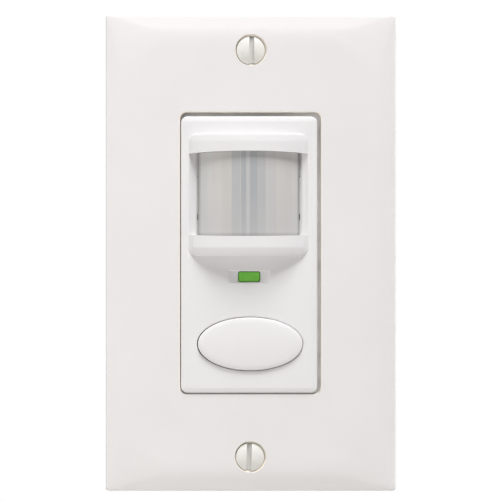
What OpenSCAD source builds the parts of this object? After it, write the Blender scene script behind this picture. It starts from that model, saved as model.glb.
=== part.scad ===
// Motion sensor light switch in a one gang wall plate.
// The pieces are drawn lying on their backs: x to the right, y up the wall, z out into the room,
// with z = 0 on the wall. upright() stands them up, so that the front looks along -Y.

/* [Wall plate] */
// Width of the wall plate
plate_w = 69.85; // [62:0.05:90]
// From a box screw to the plate screw beyond it
screw_step = 6.75; // [6.2:0.05:9]
// From a plate screw to the plate's end
plate_end = 8.73; // [8:0.01:14]
// Thickness of the plate's front
plate_wall = 2.2; // [1.8:0.1:3]
// Thickness of the plate's edge around its hollow back
edge_wall = 3.4; // [2.6:0.1:4.5]
// Height of the straight rim that lies on the wall
rim_h = 4.4; // [0.8:0.1:5]
// Width of the rounded edge
edge_round = 4.6; // [2:0.1:6]
// Corner radius of the flat front inside the rounded edge
front_corner_r = 12; // [6:0.5:18]
// Corner radius at the rim
rim_corner_r = 0.4; // [0.2:0.1:2]
// Corner radius of the hollow back
hollow_corner_r = 4; // [2:0.5:6]
// Gap between the plate's opening and the sensor's sides
opening_gap_x = 0.6; // [0.45:0.05:1.2]
// Gap between the plate's opening and the sensor's ends
opening_gap_y = 0.7; // [0.45:0.05:1.4]
// Corner radius of the plate's opening
opening_r = 1.6; // [0.8:0.1:3]

/* [Sensor face] */
// Width of the sensor's face
face_w = 32.1; // [30:0.1:35]
// Height of the sensor's face
face_h = 65.4; // [63:0.1:70]
// Corner radius of the face
face_corner_r = 1.5; // [1:0.1:3]
// Rounding of the face's front edge
face_edge_r = 0.8; // [0.3:0.1:1]
// How far the face stands in front of the plate
face_proud = 0.5; // [0.2:0.1:2]
// Sideways offset of the sensor in the plate's opening
face_shift_x = -0.33; // [-0.4:0.01:0.4]
// Upward offset of the sensor in the plate's opening
face_shift_y = -0.3; // [-0.4:0.01:0.4]
// Thickness of the face
face_t = 1.8; // [1.4:0.1:2.2]
// Thickness of the cover's side walls
cover_wall = 1.6; // [1.2:0.1:2]

/* [Hood and lens] */
// Half width of the bulging sensor head
hood_half_w = 14.2; // [13.4:0.1:14.4]
// Top of the hood above the middle of the face
hood_top = 28.7; // [27.5:0.1:29.5]
// Bottom of the ledge above the middle of the face
ledge_bottom = -0.4; // [-1:0.1:0.5]
// How far the head bulges in front of the face
hood_bulge = 4.5; // [3.6:0.1:6]
// Corner radius of the head's outline
hood_corner_r = 2.2; // [1:0.1:3]
// Rounding of the hood's top and the ledge's lower edge
hood_edge_r = 2; // [1:0.1:2.4]
// Underside of the hood at the face
hood_under = 23.9; // [23.2:0.1:24.4]
// Rise of the hood's underside from the face to the front
hood_flare = 0.5; // [0.2:0.1:0.8]
// Top of the ledge at the face
ledge_top = 4.6; // [4.2:0.1:5.2]
// Fall of the ledge's top from the face to the front
ledge_flare = 0.3; // [0.1:0.1:0.6]
// Depth of the scooped cheeks beside the lens
cheek_depth = 2.5; // [1.8:0.1:2.8]
// Outer radius of the lens
lens_r = 15; // [14:0.1:18]
// Half width of the lens
lens_half_w = 12.1; // [11.4:0.1:12.4]
// Thickness of the lens
lens_t = 0.7; // [0.5:0.1:1]
// How far the lens stays behind the front of the hood
lens_recess = 0.4; // [0.2:0.1:1.2]
// Width of the lens flange under the cheeks
lens_flange_w = 2.1; // [1.6:0.1:2.1]
// Height of the frame behind the window that the lens flange bears on
window_frame_h = 1.5; // [1.2:0.1:1.6]
// Thickness of the ring that holds the lens
retainer_t = 1.2; // [0.9:0.1:1.2]
// Radius of the staking pins
stake_r = 0.6; // [0.4:0.05:0.7]

/* [Button and indicator] */
// Width of the button's opening
button_w = 25.2; // [22:0.1:26]
// Height of the button's opening
button_h = 12.9; // [11:0.1:13.4]
// Middle of the button above the middle of the face
button_y = -21.3; // [-22:0.1:-20.5]
// Gap round the button
button_gap = 0.25; // [0.15:0.05:0.4]
// How far the button stands in front of the face
button_proud = 1; // [0.7:0.1:2]
// Rounding of the button's edge
button_edge_r = 0.8; // [0.3:0.1:1]
// Crown of the button
button_crown = 0.25; // [0.1:0.05:0.5]
// How far the button travels
button_travel = 0.5; // [0.3:0.05:0.6]
// Depth of the collar that guides the button
button_collar_h = 1.3; // [0.9:0.1:1.4]
// Width of the button's flange past its opening
button_flange_w = 0.7; // [0.5:0.05:0.8]
// Radius of the button's stem
stem_r = 2; // [1.5:0.1:2.6]
// Width of the indicator window
light_w = 5.1; // [4:0.1:6]
// Height of the indicator window
light_h = 2.5; // [2:0.1:3]
// Middle of the indicator above the middle of the face
light_y = -5.3; // [-6.5:0.1:-4.5]
// Width of the groove round the indicator
groove_w = 9.7; // [8:0.1:12]
// Height of the groove round the indicator
groove_h = 3.15; // [3:0.05:4]
// Depth of the groove
groove_d = 0.5; // [0.3:0.05:0.7]

/* [Strap and screws] */
// Thickness of the mounting strap
strap_t = 1.2; // [0.9:0.1:1.6]
// Width of the strap's ears
ear_w = 33; // [28:0.5:40]
// Height of the strap's ears
ear_h = 10.5; // [9:0.5:12]
// Width of the strap between its ears and its middle
strap_neck_w = 20; // [16:0.5:26]
// Distance between the two box screws
box_screw_pitch = 83.34; // [81:0.02:85]
// Radius of the box screws
box_screw_r = 1.75; // [1.5:0.05:2]
// Length of the box screws behind the strap
box_screw_len = 20; // [12:0.5:30]
// Head height of the box screws
box_head_h = 2.1; // [1.6:0.1:2.6]
// Head radius of the box screws
box_head_r = 3.4; // [2.8:0.1:3.8]
// Length of the strap's slots for the box screws
box_slot_len = 8; // [6:0.5:12]
// Radius of the plate screws
plate_screw_r = 1.75; // [1.5:0.05:2]
// Head radius of the plate screws
plate_head_r = 3.3; // [3:0.05:3.5]
// Radius of the countersunk holes at the plate's front
plate_hole_r = 3.75; // [3.6:0.05:3.95]
// Crown of the plate screws' oval heads
plate_head_crown = 0.9; // [0.5:0.1:1.2]
// Width of the screw slots
driver_slot_w = 1.17; // [0.8:0.01:1.4]
// Turn of the upper plate screw's slot
upper_slot_turn = 0; // [-90:1:90]
// Turn of the lower plate screw's slot
lower_slot_turn = -2; // [-90:1:90]
// Radius of the ground screw
ground_screw_r = 2.05; // [1.6:0.05:2.2]
// Width across the ground screw's hex head
ground_head_w = 7; // [6:0.1:8]
// Radius of the long screws that hold the housing
housing_screw_r = 1.1; // [0.9:0.05:1.1]
// Head radius of the long screws
housing_head_r = 2.2; // [1.8:0.1:2.3]

/* [Rear housing] */
// Width of the rear housing
housing_w = 42.7; // [41.5:0.1:46]
// Height of the rear housing
housing_h = 69.6; // [68:0.1:74]
// Thickness of the housing's walls
housing_wall = 1.8; // [1.4:0.1:2.2]
// Corner radius of the housing
housing_corner_r = 3; // [2:0.1:4]
// Gap between the boards and the housing's walls
board_edge_gap = 1; // [0.5:0.1:1.2]
// Thickness of the circuit boards
board_t = 1.6; // [1:0.1:2]
// From the strap to the front of the sensor board
sensor_board_depth = 7.5; // [7.2:0.1:9]
// Free height between the relay and the sensor board
board_clear = 2; // [1.6:0.1:4]
// From the power board to the housing's floor
solder_gap = 2.3; // [2:0.1:4]
// From a housing screw to the face's side
post_inset_x = 3.55; // [3.3:0.05:3.8]
// From a housing screw to the face's end
post_inset_y = 4.2; // [4:0.05:4.4]
// Depth of the terminal pockets in the housing's side
pocket_depth = 5.25; // [5:0.05:6]
// Height of a terminal pocket
pocket_h = 9.4; // [8.6:0.1:10]
// Distance between the two terminals
terminal_pitch = 18; // [14:0.5:20]
// Radius of the terminal screws
terminal_screw_r = 1.9; // [1.6:0.05:2.1]

/* [Sensor and relay] */
// Height of the infrared sensor's can
can_h = 3.7; // [3:0.1:4]
// Radius of the infrared sensor's can
can_r = 4.1; // [3.6:0.1:4.5]
// Height of the tact switch's body
tact_body_h = 3.2; // [2.6:0.1:3.8]
// Radius of the tact switch's plunger
plunger_r = 1.75; // [1.4:0.05:2]
// Width of the relay
relay_w = 15.3; // [14:0.1:15.6]
// Length of the relay
relay_len = 20.5; // [20:0.1:21]
// Height of the relay
relay_h = 13.4; // [13.4:0.1:15]
// How far the relay's armature swings
relay_swing = 3.5; // [1:0.1:3.5]

/* [Hidden] */
$fn = 64;

// Cuts run past the faces that they open by this much
past = 0.5;
// Thickness of the slices that a rounded edge is drawn over
slice = 0.01;
// Clearance of pieces that slide in or drop into others
clear = 0.1;
// Clearance of a screw in the thread that holds it
thread_clear = 0.05;
// Steps round a quarter of a corner or an edge
corner_steps = 6;
edge_steps = 8;
// Points round the button's ellipse
ellipse_steps = 48;

// Plate and face, measured out of the wall
plate_clear = 0.5;
plate_screw_pitch = box_screw_pitch + 2 * screw_step;
plate_h = plate_screw_pitch + 2 * plate_end;
plate_back = strap_t + box_head_h + plate_clear;
plate_front = plate_back + plate_wall;
opening_w = face_w + 2 * opening_gap_x;
opening_h = face_h + 2 * opening_gap_y;
face_z = plate_front + face_proud;
face_back = face_z - face_t;
face_shift = [face_shift_x, face_shift_y, 0];

// Plate screws: an 82 degree countersink, with the head's cone lying on it
countersink = tan(41);
plate_hole_clear = 0.35;
plate_hole_small_r = plate_screw_r + plate_hole_clear;
countersink_h = (plate_hole_r - plate_hole_small_r) / countersink;
plate_head_rim = plate_front - (plate_hole_r - plate_head_r) / countersink;
plate_screw_tail = 6;
driver_slot_d = 1;
crown_ball_r = (pow(plate_head_r, 2) + pow(plate_head_crown, 2)) / (2 * plate_head_crown);
crown_ball_z = plate_head_rim + plate_head_crown - crown_ball_r;

// Sensor head: an upright cylinder that bulges out of the face
hood_end_step = 0.3;
hood_flush = hood_half_w + hood_end_step;
hood_r = (pow(hood_flush, 2) + pow(hood_bulge, 2)) / (2 * hood_bulge);
hood_front = face_z + hood_bulge;
hood_axis_z = hood_front - hood_r;
hood_mid = (hood_top + ledge_bottom) / 2;
hood_root = 1;

// Window, lens and the ring behind them
frame_back = face_back - window_frame_h;
window_gap = 0.15;
window_half_w = lens_half_w + window_gap;
cheek_z = face_z - cheek_depth;
lens_axis_z = hood_front - lens_recess - lens_r;
lens_edge_z = lens_axis_z + sqrt(pow(lens_r, 2) - pow(lens_half_w, 2));
lens_leg_rise = 0.4;
function hood_under_at(z) = hood_under + hood_flare * (z - face_z) / hood_bulge;
function ledge_top_at(z) = ledge_top - ledge_flare * (z - face_z) / hood_bulge;
lens_gap = 0.12;
lens_top = hood_under_at(frame_back) - lens_gap;
lens_low = ledge_top_at(frame_back) + lens_gap;
flange_half_w = lens_half_w + lens_flange_w;
flange_t = 0.7;
flange_back = frame_back - flange_t;
retainer_back = flange_back - retainer_t;
stake_spread = 0.35;
stake_head_r = stake_r + stake_spread;
stake_head_h = 0.4;
stake_rim = 0.25;
stake_inward = 0.25;
stake_x = lens_half_w + lens_flange_w / 2 - stake_inward;
stake_y = [lens_low - stake_head_r - stake_rim, lens_top + stake_head_r + stake_rim];
retainer_low = stake_y[0] - stake_head_r;
retainer_top = stake_y[1] + stake_head_r;
retainer_rail = 1.1;
retainer_slot_h = 0.8;

// Inside of the front cover
cavity_w = face_w - 2 * cover_wall;
cavity_h = face_h - 2 * cover_wall;
frame_half_w = cavity_w / 2 + clear;
boss_r = 2.8;
boss_hole_d = 0.6;
boss_hole_end = face_back + boss_hole_d;
post_x = face_w / 2 - post_inset_x;
post_y = face_h / 2 - post_inset_y;
posts = [[-post_x, -post_y], [post_x, -post_y], [-post_x, post_y], [post_x, post_y]];

// Button: a flange under the guiding collar and a stem down to the tact switch
collar_wall = 1;
flange_gap = 0.3;
button_flange_t = 0.9;
collar_end = face_back - button_collar_h;
button_flange_top = collar_end - flange_gap;
button_flange_low = button_flange_top - button_flange_t;
button_at = [0, button_y];
button_rim = face_z + button_proud - button_crown;
cap_w = button_w - 2 * button_gap;
cap_h = button_h - 2 * button_gap;

// Boards and housing, measured into the wall
sensor_front = -sensor_board_depth;
sensor_back = sensor_front - board_t;
board_gap = relay_h + board_clear;
power_front = sensor_back - board_gap;
power_back = power_front - board_t;
floor_z = power_back - solder_gap;
floor_extra = 0.2;
housing_back = floor_z - housing_wall - floor_extra;
inner_w = housing_w - 2 * housing_wall;
inner_h = housing_h - 2 * housing_wall;
board_w = inner_w - 2 * board_edge_gap;
board_h = inner_h - 2 * board_edge_gap;
board_corner_r = 1.5;
post_bore_clear = 0.15;
post_bore_r = housing_screw_r + post_bore_clear;
post_tip_r = 1.9;
post_mid_r = 2.4;
post_base_r = 3.2;
head_pocket_clear = 0.2;
head_pocket_r = housing_head_r + head_pocket_clear;
head_pocket_d = 2.2;
head_sunk = 0.2;
head_seat = housing_back + head_pocket_d;
cross_w = 0.6;
cross_len = 2.4;
cross_d = 1;

// Strap: window, middle, ears and the bent tab of the ground screw
strap_clear = 0.95;
strap_top = plate_h / 2 - edge_wall - strap_clear;
strap_w = housing_w + 2 * abs(face_shift_x);
strap_mid_h = housing_h + 2 * abs(face_shift_y);
strap_corner_r = 2;
window_w = cavity_w + clear;
window_reach = 0.3;
window_top = post_y - boss_r + window_reach;
ear_corner_r = 4.5;
box_slot_clear = 0.45;
box_slot_r = box_screw_r + box_slot_clear;
box_neck_r = 1.5;
tab_t = 1.2;
tab_w = 8;
tab_gap = 0.9;
tab_top = -strap_mid_h / 2 - tab_gap;
tab_inset = 0.8;
tab_left = tab_inset - strap_w / 2;
tab_back = -9.5;
tab_arm_w = 5;
ground_y = tab_top - tab_w / 2;
ground_z = -4.6;
ground_head_h = 2.5;
ground_tail = 5;

// Infrared sensor on the sensor board, at the middle of the window
pir_at = [0, (hood_under + ledge_top) / 2];
header_flange_w = 0.55;
header_flange_r = can_r + header_flange_w;
header_flange_t = 0.5;
can_wall = 0.3;
can_top = sensor_front + header_flange_t + can_h;
can_window = [3, 4.2];
window_lap = 0.35;
window_t = 0.4;
element_size = [2.6, 4];
element_front = sensor_front + header_flange_t + can_h / 2;
pir_lead_r = 0.23;
pir_lead_circle = 2.54;
pir_leads = [for (a = [45, 180, 315]) pir_at + pir_lead_circle * [cos(a), sin(a)]];
lead_tail = 1.2;

// Indicator and tact switch on the sensor board
light_at = [0, light_y];
light_corner_r = 0.3;
light_sunk = 0.05;
light_front = face_z - groove_d - light_sunk;
light_flange = 1.6;
light_flange_t = 0.7;
light_shank = 0.5;
groove_end_slope = 1.2;
led_size = [3.4, 2.9];
led_top_size = [2.7, 2.3];
led_h = 1.9;
led_gap = 0.2;
tact_w = 6.2;
tact_lid_w = 6;
tact_lid_t = 0.3;
plunger_sunk = 0.6;
plunger_rise = 1.4;
plunger_spare = 0.2;
tact_well_d = plunger_sunk + button_travel + plunger_spare;
tact_lid_front = sensor_front + tact_body_h + tact_lid_t;
plunger_top = tact_lid_front + plunger_rise;

// Controller chip
chip_size = [5, 8.6];
chip_inset = 9.05;
chip_y = -13;
chip_at = [chip_inset - board_w / 2, chip_y];
chip_h = 1.5;
chip_lift = 0.15;
chip_lead_pitch = 1.27;
chip_lead_w = 0.42;
chip_lead_t = 0.25;
chip_lead_reach = 1;
chip_lead_count = 6;

// Board to board header
header_pitch = 2.54;
header_count = 5;
header_w = 2.5;
header_inset = 7.7;
header_y = -16.5;
header_at = [board_w / 2 - header_inset, header_y];
header_end = 0.15;
header_len = header_count * header_pitch + 2 * header_end;
pin_w = 0.64;
pin_hole_w = pin_w + 2 * clear;
pin_tail = 1.4;
header_pin_at = [
    for (i = [0:header_count - 1]) header_at + [0, (i - (header_count - 1) / 2) * header_pitch]
];

// Relay on the power board: u runs up the wall from its middle, w out from the board
relay_inset = 1.3;
relay_y = 13.9;
relay_at = [relay_inset + relay_w / 2 - board_w / 2, relay_y];
relay_wall = 0.6;
relay_base_gap = 0.05;
relay_base_t = 1.5;
relay_floor = power_front + relay_base_t;
yoke_t = 1;
yoke_w = 9;
yoke_leg_w = 6;
yoke_gap = 0.45;
yoke_back = relay_len / 2 - relay_wall - yoke_gap;
yoke_leg_top = relay_floor + yoke_t;
relay_ceiling = power_front + relay_h - relay_wall;
spring_t = 0.25;
spring_clear = 0.5;
armature_t = 1;
armature_back = relay_ceiling - spring_clear - spring_t - armature_t;
armature_lift = 0.15;
yoke_top = armature_back - armature_lift;
core_step = 7.2;
core_u = yoke_back - core_step;
core_r = 1.6;
core_spigot_r = 1.1;
pole_r = 2.2;
pole_t = 0.7;
pole_gap = 0.6;
pole_front = yoke_top - pole_gap;
bobbin_flange_r = 4.7;
bobbin_flange_t = 0.8;
bobbin_bore_r = core_r + clear;
bobbin_wall = 0.7;
bobbin_barrel_r = bobbin_bore_r + bobbin_wall;
bobbin_front = pole_front - pole_t - clear;
winding_r = 4.3;
winding_gap = 0.05;
contact_inset = 2.25;
contact_u = contact_inset - relay_len / 2;
contact_r = 1.2;
contact_swing = (yoke_back - contact_u) * sin(relay_swing);
fixed_contact_clear = 0.2;
moving_contact_h = 1.9;
moving_contact_back = armature_back + armature_t - moving_contact_h;
fixed_contact_front = moving_contact_back - contact_swing - fixed_contact_clear;
contact_pad_t = 0.4;
contact_strip_t = 0.5;
contact_strip_w = 4;
contact_strip_step = 1.1;
contact_strip_u = contact_u - contact_strip_step;
armature_w = 9;
armature_reach = 5;
armature_low_u = core_u - armature_reach;
spring_w = 5;
spring_end = 0.3;
spring_reach = 3;
rivet_r = 0.8;
rivet_h = 0.2;
relay_pin_r = 0.45;
yoke_pin_u = yoke_back - yoke_t / 2;
coil_pin_x = 3.9;
coil_pin_step = 1;
coil_pin_at = [for (s = [-1, 1]) [s * coil_pin_x, core_u + coil_pin_step]];
relay_pin_at = concat([[0, contact_strip_u], [0, yoke_pin_u]], coil_pin_at);

// Other parts on the power board
lead_r = 0.35;
film_size = [6, 17];
film_h = 12;
film_inset = 2;
film_y = -12.5;
film_at = [film_inset + film_size[0] / 2 - board_w / 2, film_y];
film_lead_reach = 7;
film_leads = [for (s = [-1, 1]) film_at + [0, s * film_lead_reach]];
electrolytic_r = 4;
electrolytic_h = 12;
electrolytic_gap = 4;
electrolytic_x = relay_at[0] + relay_w / 2 + electrolytic_gap + electrolytic_r;
electrolytic_y = [20.5, 10.5];
electrolytic_at = [for (y = electrolytic_y) [electrolytic_x, y]];
electrolytic_groove = 0.3;
electrolytic_groove_z = 1.8;
electrolytic_lead_reach = 1.25;
electrolytic_leads = [
    for (p = electrolytic_at) for (s = [-1, 1]) p + [0, s * electrolytic_lead_reach]
];
varistor_r = 4.8;
varistor_t = 3.6;
varistor_gap = 4.6;
varistor_y = -6.5;
varistor_at = [film_at[0] + film_size[0] / 2 + varistor_gap, varistor_y];
varistor_lift = 0.2;
varistor_lead_reach = 2.5;
varistor_leads = [for (s = [-1, 1]) varistor_at + [0, s * varistor_lead_reach]];
rectifier_size = [7, 6.2];
rectifier_h = 3.2;
rectifier_gap = 2.2;
rectifier_x = varistor_at[0] + varistor_t / 2 + rectifier_gap + rectifier_size[0] / 2;
rectifier_at = [rectifier_x, varistor_y];
rectifier_lead_reach = [2.54, 2.2];
rectifier_leads = [
    for (s = [-1, 1]) for (t = [-1, 1])
        rectifier_at + [s * rectifier_lead_reach[0], t * rectifier_lead_reach[1]]
];
fuse_r = 2;
fuse_len = 9;
fuse_step = 3;
fuse_y = -18.5;
fuse_at = [rectifier_x - fuse_step, fuse_y];
fuse_reach = 1.4;
fuse_leads = [for (s = [-1, 1]) fuse_at + [0, s * (fuse_len / 2 + fuse_reach)]];
board_leads = concat(film_leads, electrolytic_leads, varistor_leads, rectifier_leads, fuse_leads);

// Terminals in the housing's right side
pocket_floor_x = housing_w / 2 - pocket_depth;
pocket_wall = 1.2;
pocket_drop = 1.9;
pocket_lift = 3;
pocket_front = sensor_back - pocket_drop;
pocket_back = power_front + pocket_lift;
pocket_mid_z = (pocket_front + pocket_back) / 2;
terminal_y = [-terminal_pitch / 2, terminal_pitch / 2];
terminal_plate_t = 1.2;
terminal_side_gap = 0.9;
terminal_plate_w = pocket_h - 2 * terminal_side_gap;
terminal_leg_w = 2;
terminal_gap = 0.2;
wire_gap = 0.7;
clamp_t = 1;
clamp_x = pocket_floor_x + terminal_plate_t + wire_gap;
terminal_head_r = 3.5;
terminal_head_h = 2.2;
terminal_tail = 1.4;

// Points of a rectangle with round corners
function round_points(w, h, r) = [
    for (k = [0:3]) for (i = [0:corner_steps])
        let (a = 90 * (k + i / corner_steps), sx = k == 0 || k == 3 ? 1 : -1, sy = k < 2 ? 1 : -1)
            [sx * (w / 2 - r) + r * cos(a), sy * (h / 2 - r) + r * sin(a)]
];

// Points of an ellipse
function ellipse_points(w, h) = [
    for (i = [0:ellipse_steps - 1])
        let (a = 360 * i / ellipse_steps)
            [w / 2 * cos(a), h / 2 * sin(a)]
];

// A ring of the button's cap, drawn in from its side
function cap_ring(inset, z) = [
    for (p = ellipse_points(cap_w - 2 * inset, cap_h - 2 * inset)) [p[0], p[1], z]
];

// Stands a piece up against the wall
module upright() rotate([90, 0, 0]) children();

// Stands a piece of the sensor up, where the sensor sits in the plate's opening
module in_sensor() upright() translate(face_shift) children();

// A block over a middle point, from one height to another
module block(size, z0, z1, at = [0, 0])
    translate([at[0] - size[0] / 2, at[1] - size[1] / 2, z0]) cube([size[0], size[1], z1 - z0]);

// A round rod over a point, from one height to another
module rod(r, z0, z1, at = [0, 0]) translate([at[0], at[1], z0]) cylinder(r = r, h = z1 - z0);

// An outline raised from one height to another
module raised(points, z0, z1, at = [0, 0])
    translate([at[0], at[1], z0]) linear_extrude(z1 - z0) polygon(points);

// An outline of (y, z) points drawn out to both sides
module across(half_w, points)
    translate([-half_w, 0, 0]) rotate([90, 0, 90]) linear_extrude(2 * half_w) polygon(points);

// An outline of (x, z) points drawn upwards
module upwards(y0, y1, points)
    translate([0, y1, 0]) rotate([90, 0, 0]) linear_extrude(y1 - y0) polygon(points);

// A rod along x
module side_rod(r, x0, x1, y, z, sides = $fn)
    translate([x0, y, z]) rotate([0, 90, 0]) cylinder(r = r, h = x1 - x0, $fn = sides);

// A closed skin over rings that have the same number of points, from the lowest ring up
module loft(rings) {
    n = len(rings[0]);
    top = (len(rings) - 1) * n;
    polyhedron(
        points = [for (ring = rings) each ring],
        faces = concat(
            [[for (i = [0:n - 1]) i], [for (i = [n - 1:-1:0]) top + i]],
            [
                for (k = [0:n:top - n]) for (i = [0:n - 1])
                    let (j = (i + 1) % n)
                        each [[k + i, k + n + i, k + n + j], [k + i, k + n + j, k + j]]
            ]
        )
    );
}

// Leads from inside a part down through its board
module leads(places, r, z0, z1) for (p = places) rod(r, z0, z1, p);

// One slice of the plate's rounded edge, from 0 at the rim to 90 at the front
module plate_slice(a) {
    inward = 1 - cos(a);
    inset = edge_round * inward;
    r = rim_corner_r + (front_corner_r - rim_corner_r) * inward;
    z = rim_h + (plate_front - rim_h) * sin(a);
    raised(round_points(plate_w - 2 * inset, plate_h - 2 * inset, r), z - slice, z);
}

module wall_plate() color([0.93, 0.92, 0.91]) upright() difference() {
    union() {
        raised(round_points(plate_w, plate_h, rim_corner_r), 0, rim_h);
        hull() for (i = [0:edge_steps]) plate_slice(90 * i / edge_steps);
    }
    raised(
        round_points(plate_w - 2 * edge_wall, plate_h - 2 * edge_wall, hollow_corner_r), -past, plate_back
    );
    raised(round_points(opening_w, opening_h, opening_r), 0, plate_front + past);
    for (s = [-1, 1]) translate([0, s * plate_screw_pitch / 2, 0]) {
        rod(plate_hole_small_r, 0, plate_front);
        translate([0, 0, plate_front - countersink_h])
            cylinder(r1 = plate_hole_small_r, r2 = plate_hole_r, h = countersink_h);
        rod(plate_hole_r, plate_front, plate_front + past);
    }
}

// An oval head screw with a plain slot
module plate_screw(turn) difference() {
    neck_z = plate_head_rim - (plate_head_r - plate_screw_r) / countersink;
    rotate_extrude() polygon(concat(
        [[0, -plate_screw_tail], [plate_screw_r, -plate_screw_tail], [plate_screw_r, neck_z]],
        [
            for (i = [0:edge_steps])
                let (r = plate_head_r * (1 - i / edge_steps))
                    [r, crown_ball_z + sqrt(pow(crown_ball_r, 2) - pow(r, 2))]
        ]
    ));
    rotate(turn) block(
        [driver_slot_w, 3 * plate_head_r],
        plate_head_rim + plate_head_crown - driver_slot_d, plate_front + plate_head_crown + past
    );
}

module plate_screws() color([0.92, 0.91, 0.88]) upright() {
    translate([0, plate_screw_pitch / 2, 0]) plate_screw(upper_slot_turn);
    translate([0, -plate_screw_pitch / 2, 0]) plate_screw(lower_slot_turn);
}

// The face and its side walls, with a rounded front edge
module face_block() hull() {
    raised(round_points(face_w, face_h, face_corner_r), strap_t, strap_t + slice);
    for (i = [0:corner_steps]) {
        a = 90 * i / corner_steps;
        inset = face_edge_r * (1 - cos(a));
        z = face_z - face_edge_r * (1 - sin(a));
        raised(round_points(face_w - 2 * inset, face_h - 2 * inset, face_corner_r - inset), z - slice, z);
    }
}

// The bulging head with its rounded top and lower edge, hood and ledge in one
module sensor_head() intersection() {
    raised(
        round_points(2 * hood_half_w, hood_top - ledge_bottom, hood_corner_r),
        face_z - hood_root, hood_front + past, [0, hood_mid]
    );
    translate([0, 0, hood_axis_z]) rotate([-90, 0, 0]) rotate_extrude() polygon(concat(
        [[0, ledge_bottom]],
        [
            for (i = [0:corner_steps])
                let (a = 90 * i / corner_steps - 90)
                    [hood_r, ledge_bottom + hood_edge_r] + hood_edge_r * [cos(a) - 1, sin(a)]
        ],
        [
            for (i = [0:corner_steps])
                let (a = 90 * i / corner_steps)
                    [hood_r, hood_top - hood_edge_r] + hood_edge_r * [cos(a) - 1, sin(a)]
        ],
        [[0, hood_top]]
    ));
}

// The window between hood and ledge, with its scooped cheeks
module head_window() {
    z0 = frame_back - past;
    z1 = hood_front + past;
    intersection() {
        across(face_w, [
            [ledge_top_at(z0), z0], [hood_under_at(z0), z0], [hood_under_at(z1), z1], [ledge_top_at(z1), z1]
        ]);
        upwards(ledge_bottom, hood_top, [
            [-window_half_w, z0], [window_half_w, z0], [window_half_w, cheek_z], [hood_half_w, face_z],
            [hood_half_w + past, z1], [-hood_half_w - past, z1], [-hood_half_w, face_z],
            [-window_half_w, cheek_z]
        ]);
    }
}

module front_cover() color([0.91, 0.91, 0.91]) in_sensor() {
    difference() {
        union() {
            difference() {
                union() {
                    face_block();
                    sensor_head();
                }
                block([cavity_w, cavity_h], strap_t - past, face_back);
            }
            block(
                [2 * frame_half_w, retainer_top - retainer_low],
                frame_back, face_back + clear, [0, (retainer_top + retainer_low) / 2]
            );
            raised(
                ellipse_points(button_w + 2 * collar_wall, button_h + 2 * collar_wall),
                collar_end, face_back + clear, button_at
            );
            for (p = posts) rod(boss_r, strap_t, face_back + clear, p);
        }
        head_window();
        raised(ellipse_points(button_w, button_h), collar_end - past, face_z + past, button_at);
        raised(
            round_points(light_w + 2 * thread_clear, light_h + 2 * thread_clear, light_corner_r),
            face_back - past, face_z + past, light_at
        );
        upwards(light_y - groove_h / 2, light_y + groove_h / 2, [
            [-groove_w / 2, face_z], [groove_end_slope - groove_w / 2, face_z - groove_d],
            [groove_w / 2 - groove_end_slope, face_z - groove_d], [groove_w / 2, face_z],
            [groove_w / 2, face_z + past], [-groove_w / 2, face_z + past]
        ]);
        for (p = posts) rod(housing_screw_r + thread_clear, strap_t - past, boss_hole_end, p);
    }
    for (sx = [-1, 1]) for (y = stake_y) {
        rod(stake_r, retainer_back - stake_head_h, frame_back + clear, [sx * stake_x, y]);
        rod(stake_head_r, retainer_back - stake_head_h, retainer_back, [sx * stake_x, y]);
    }
}

module lens() color([0.77, 0.76, 0.75]) in_sensor() {
    lens_h = lens_top - lens_low;
    lens_mid = [0, (lens_top + lens_low) / 2];
    intersection() {
        translate([0, lens_low, lens_axis_z]) rotate([-90, 0, 0]) difference() {
            cylinder(r = lens_r, h = lens_h);
            translate([0, 0, -past]) cylinder(r = lens_r - lens_t, h = lens_h + 2 * past);
        }
        block([2 * lens_half_w, lens_h], lens_edge_z, hood_front, lens_mid);
    }
    for (s = [-1, 1]) {
        block(
            [lens_t, lens_h], flange_back, lens_edge_z + lens_leg_rise,
            [s * (lens_half_w - lens_t / 2), lens_mid[1]]
        );
        block(
            [flange_half_w - lens_half_w + lens_t, lens_h], flange_back, frame_back,
            [s * (flange_half_w + lens_half_w - lens_t) / 2, lens_mid[1]]
        );
    }
}

module lens_retainer() color([0.2, 0.2, 0.21]) in_sensor() difference() {
    retainer_mid = (retainer_top + retainer_low) / 2;
    block([2 * flange_half_w, retainer_top - retainer_low], retainer_back, flange_back, [0, retainer_mid]);
    block(
        [2 * (lens_half_w - retainer_rail), lens_top - lens_low - 2 * retainer_rail],
        retainer_back - past, flange_back + past, [0, (lens_top + lens_low) / 2]
    );
    for (sx = [-1, 1]) for (y = stake_y)
        rod(stake_r + thread_clear, retainer_back - past, flange_back + past, [sx * stake_x, y]);
    for (y = stake_y)
        block(
            [2 * stake_x - 3 * stake_head_r, retainer_slot_h],
            retainer_back - past, flange_back + past, [0, y]
        );
}

// The button's cap: an ellipse with a rounded edge and a low crown, over the flange that holds it in
module push_button() color([0.92, 0.92, 0.92]) in_sensor() translate([button_at[0], button_at[1], 0]) {
    loft(concat(
        [cap_ring(0, button_flange_low)],
        [
            for (i = [0:corner_steps])
                let (a = 90 * i / corner_steps)
                    cap_ring(button_edge_r * (1 - cos(a)), button_rim - button_edge_r * (1 - sin(a)))
        ],
        [cap_ring(cap_h / 4, button_rim + button_crown)]
    ));
    raised(
        ellipse_points(button_w + 2 * button_flange_w, button_h + 2 * button_flange_w),
        button_flange_low, button_flange_top
    );
    rod(stem_r, plunger_top, button_flange_low + clear);
}

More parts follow.
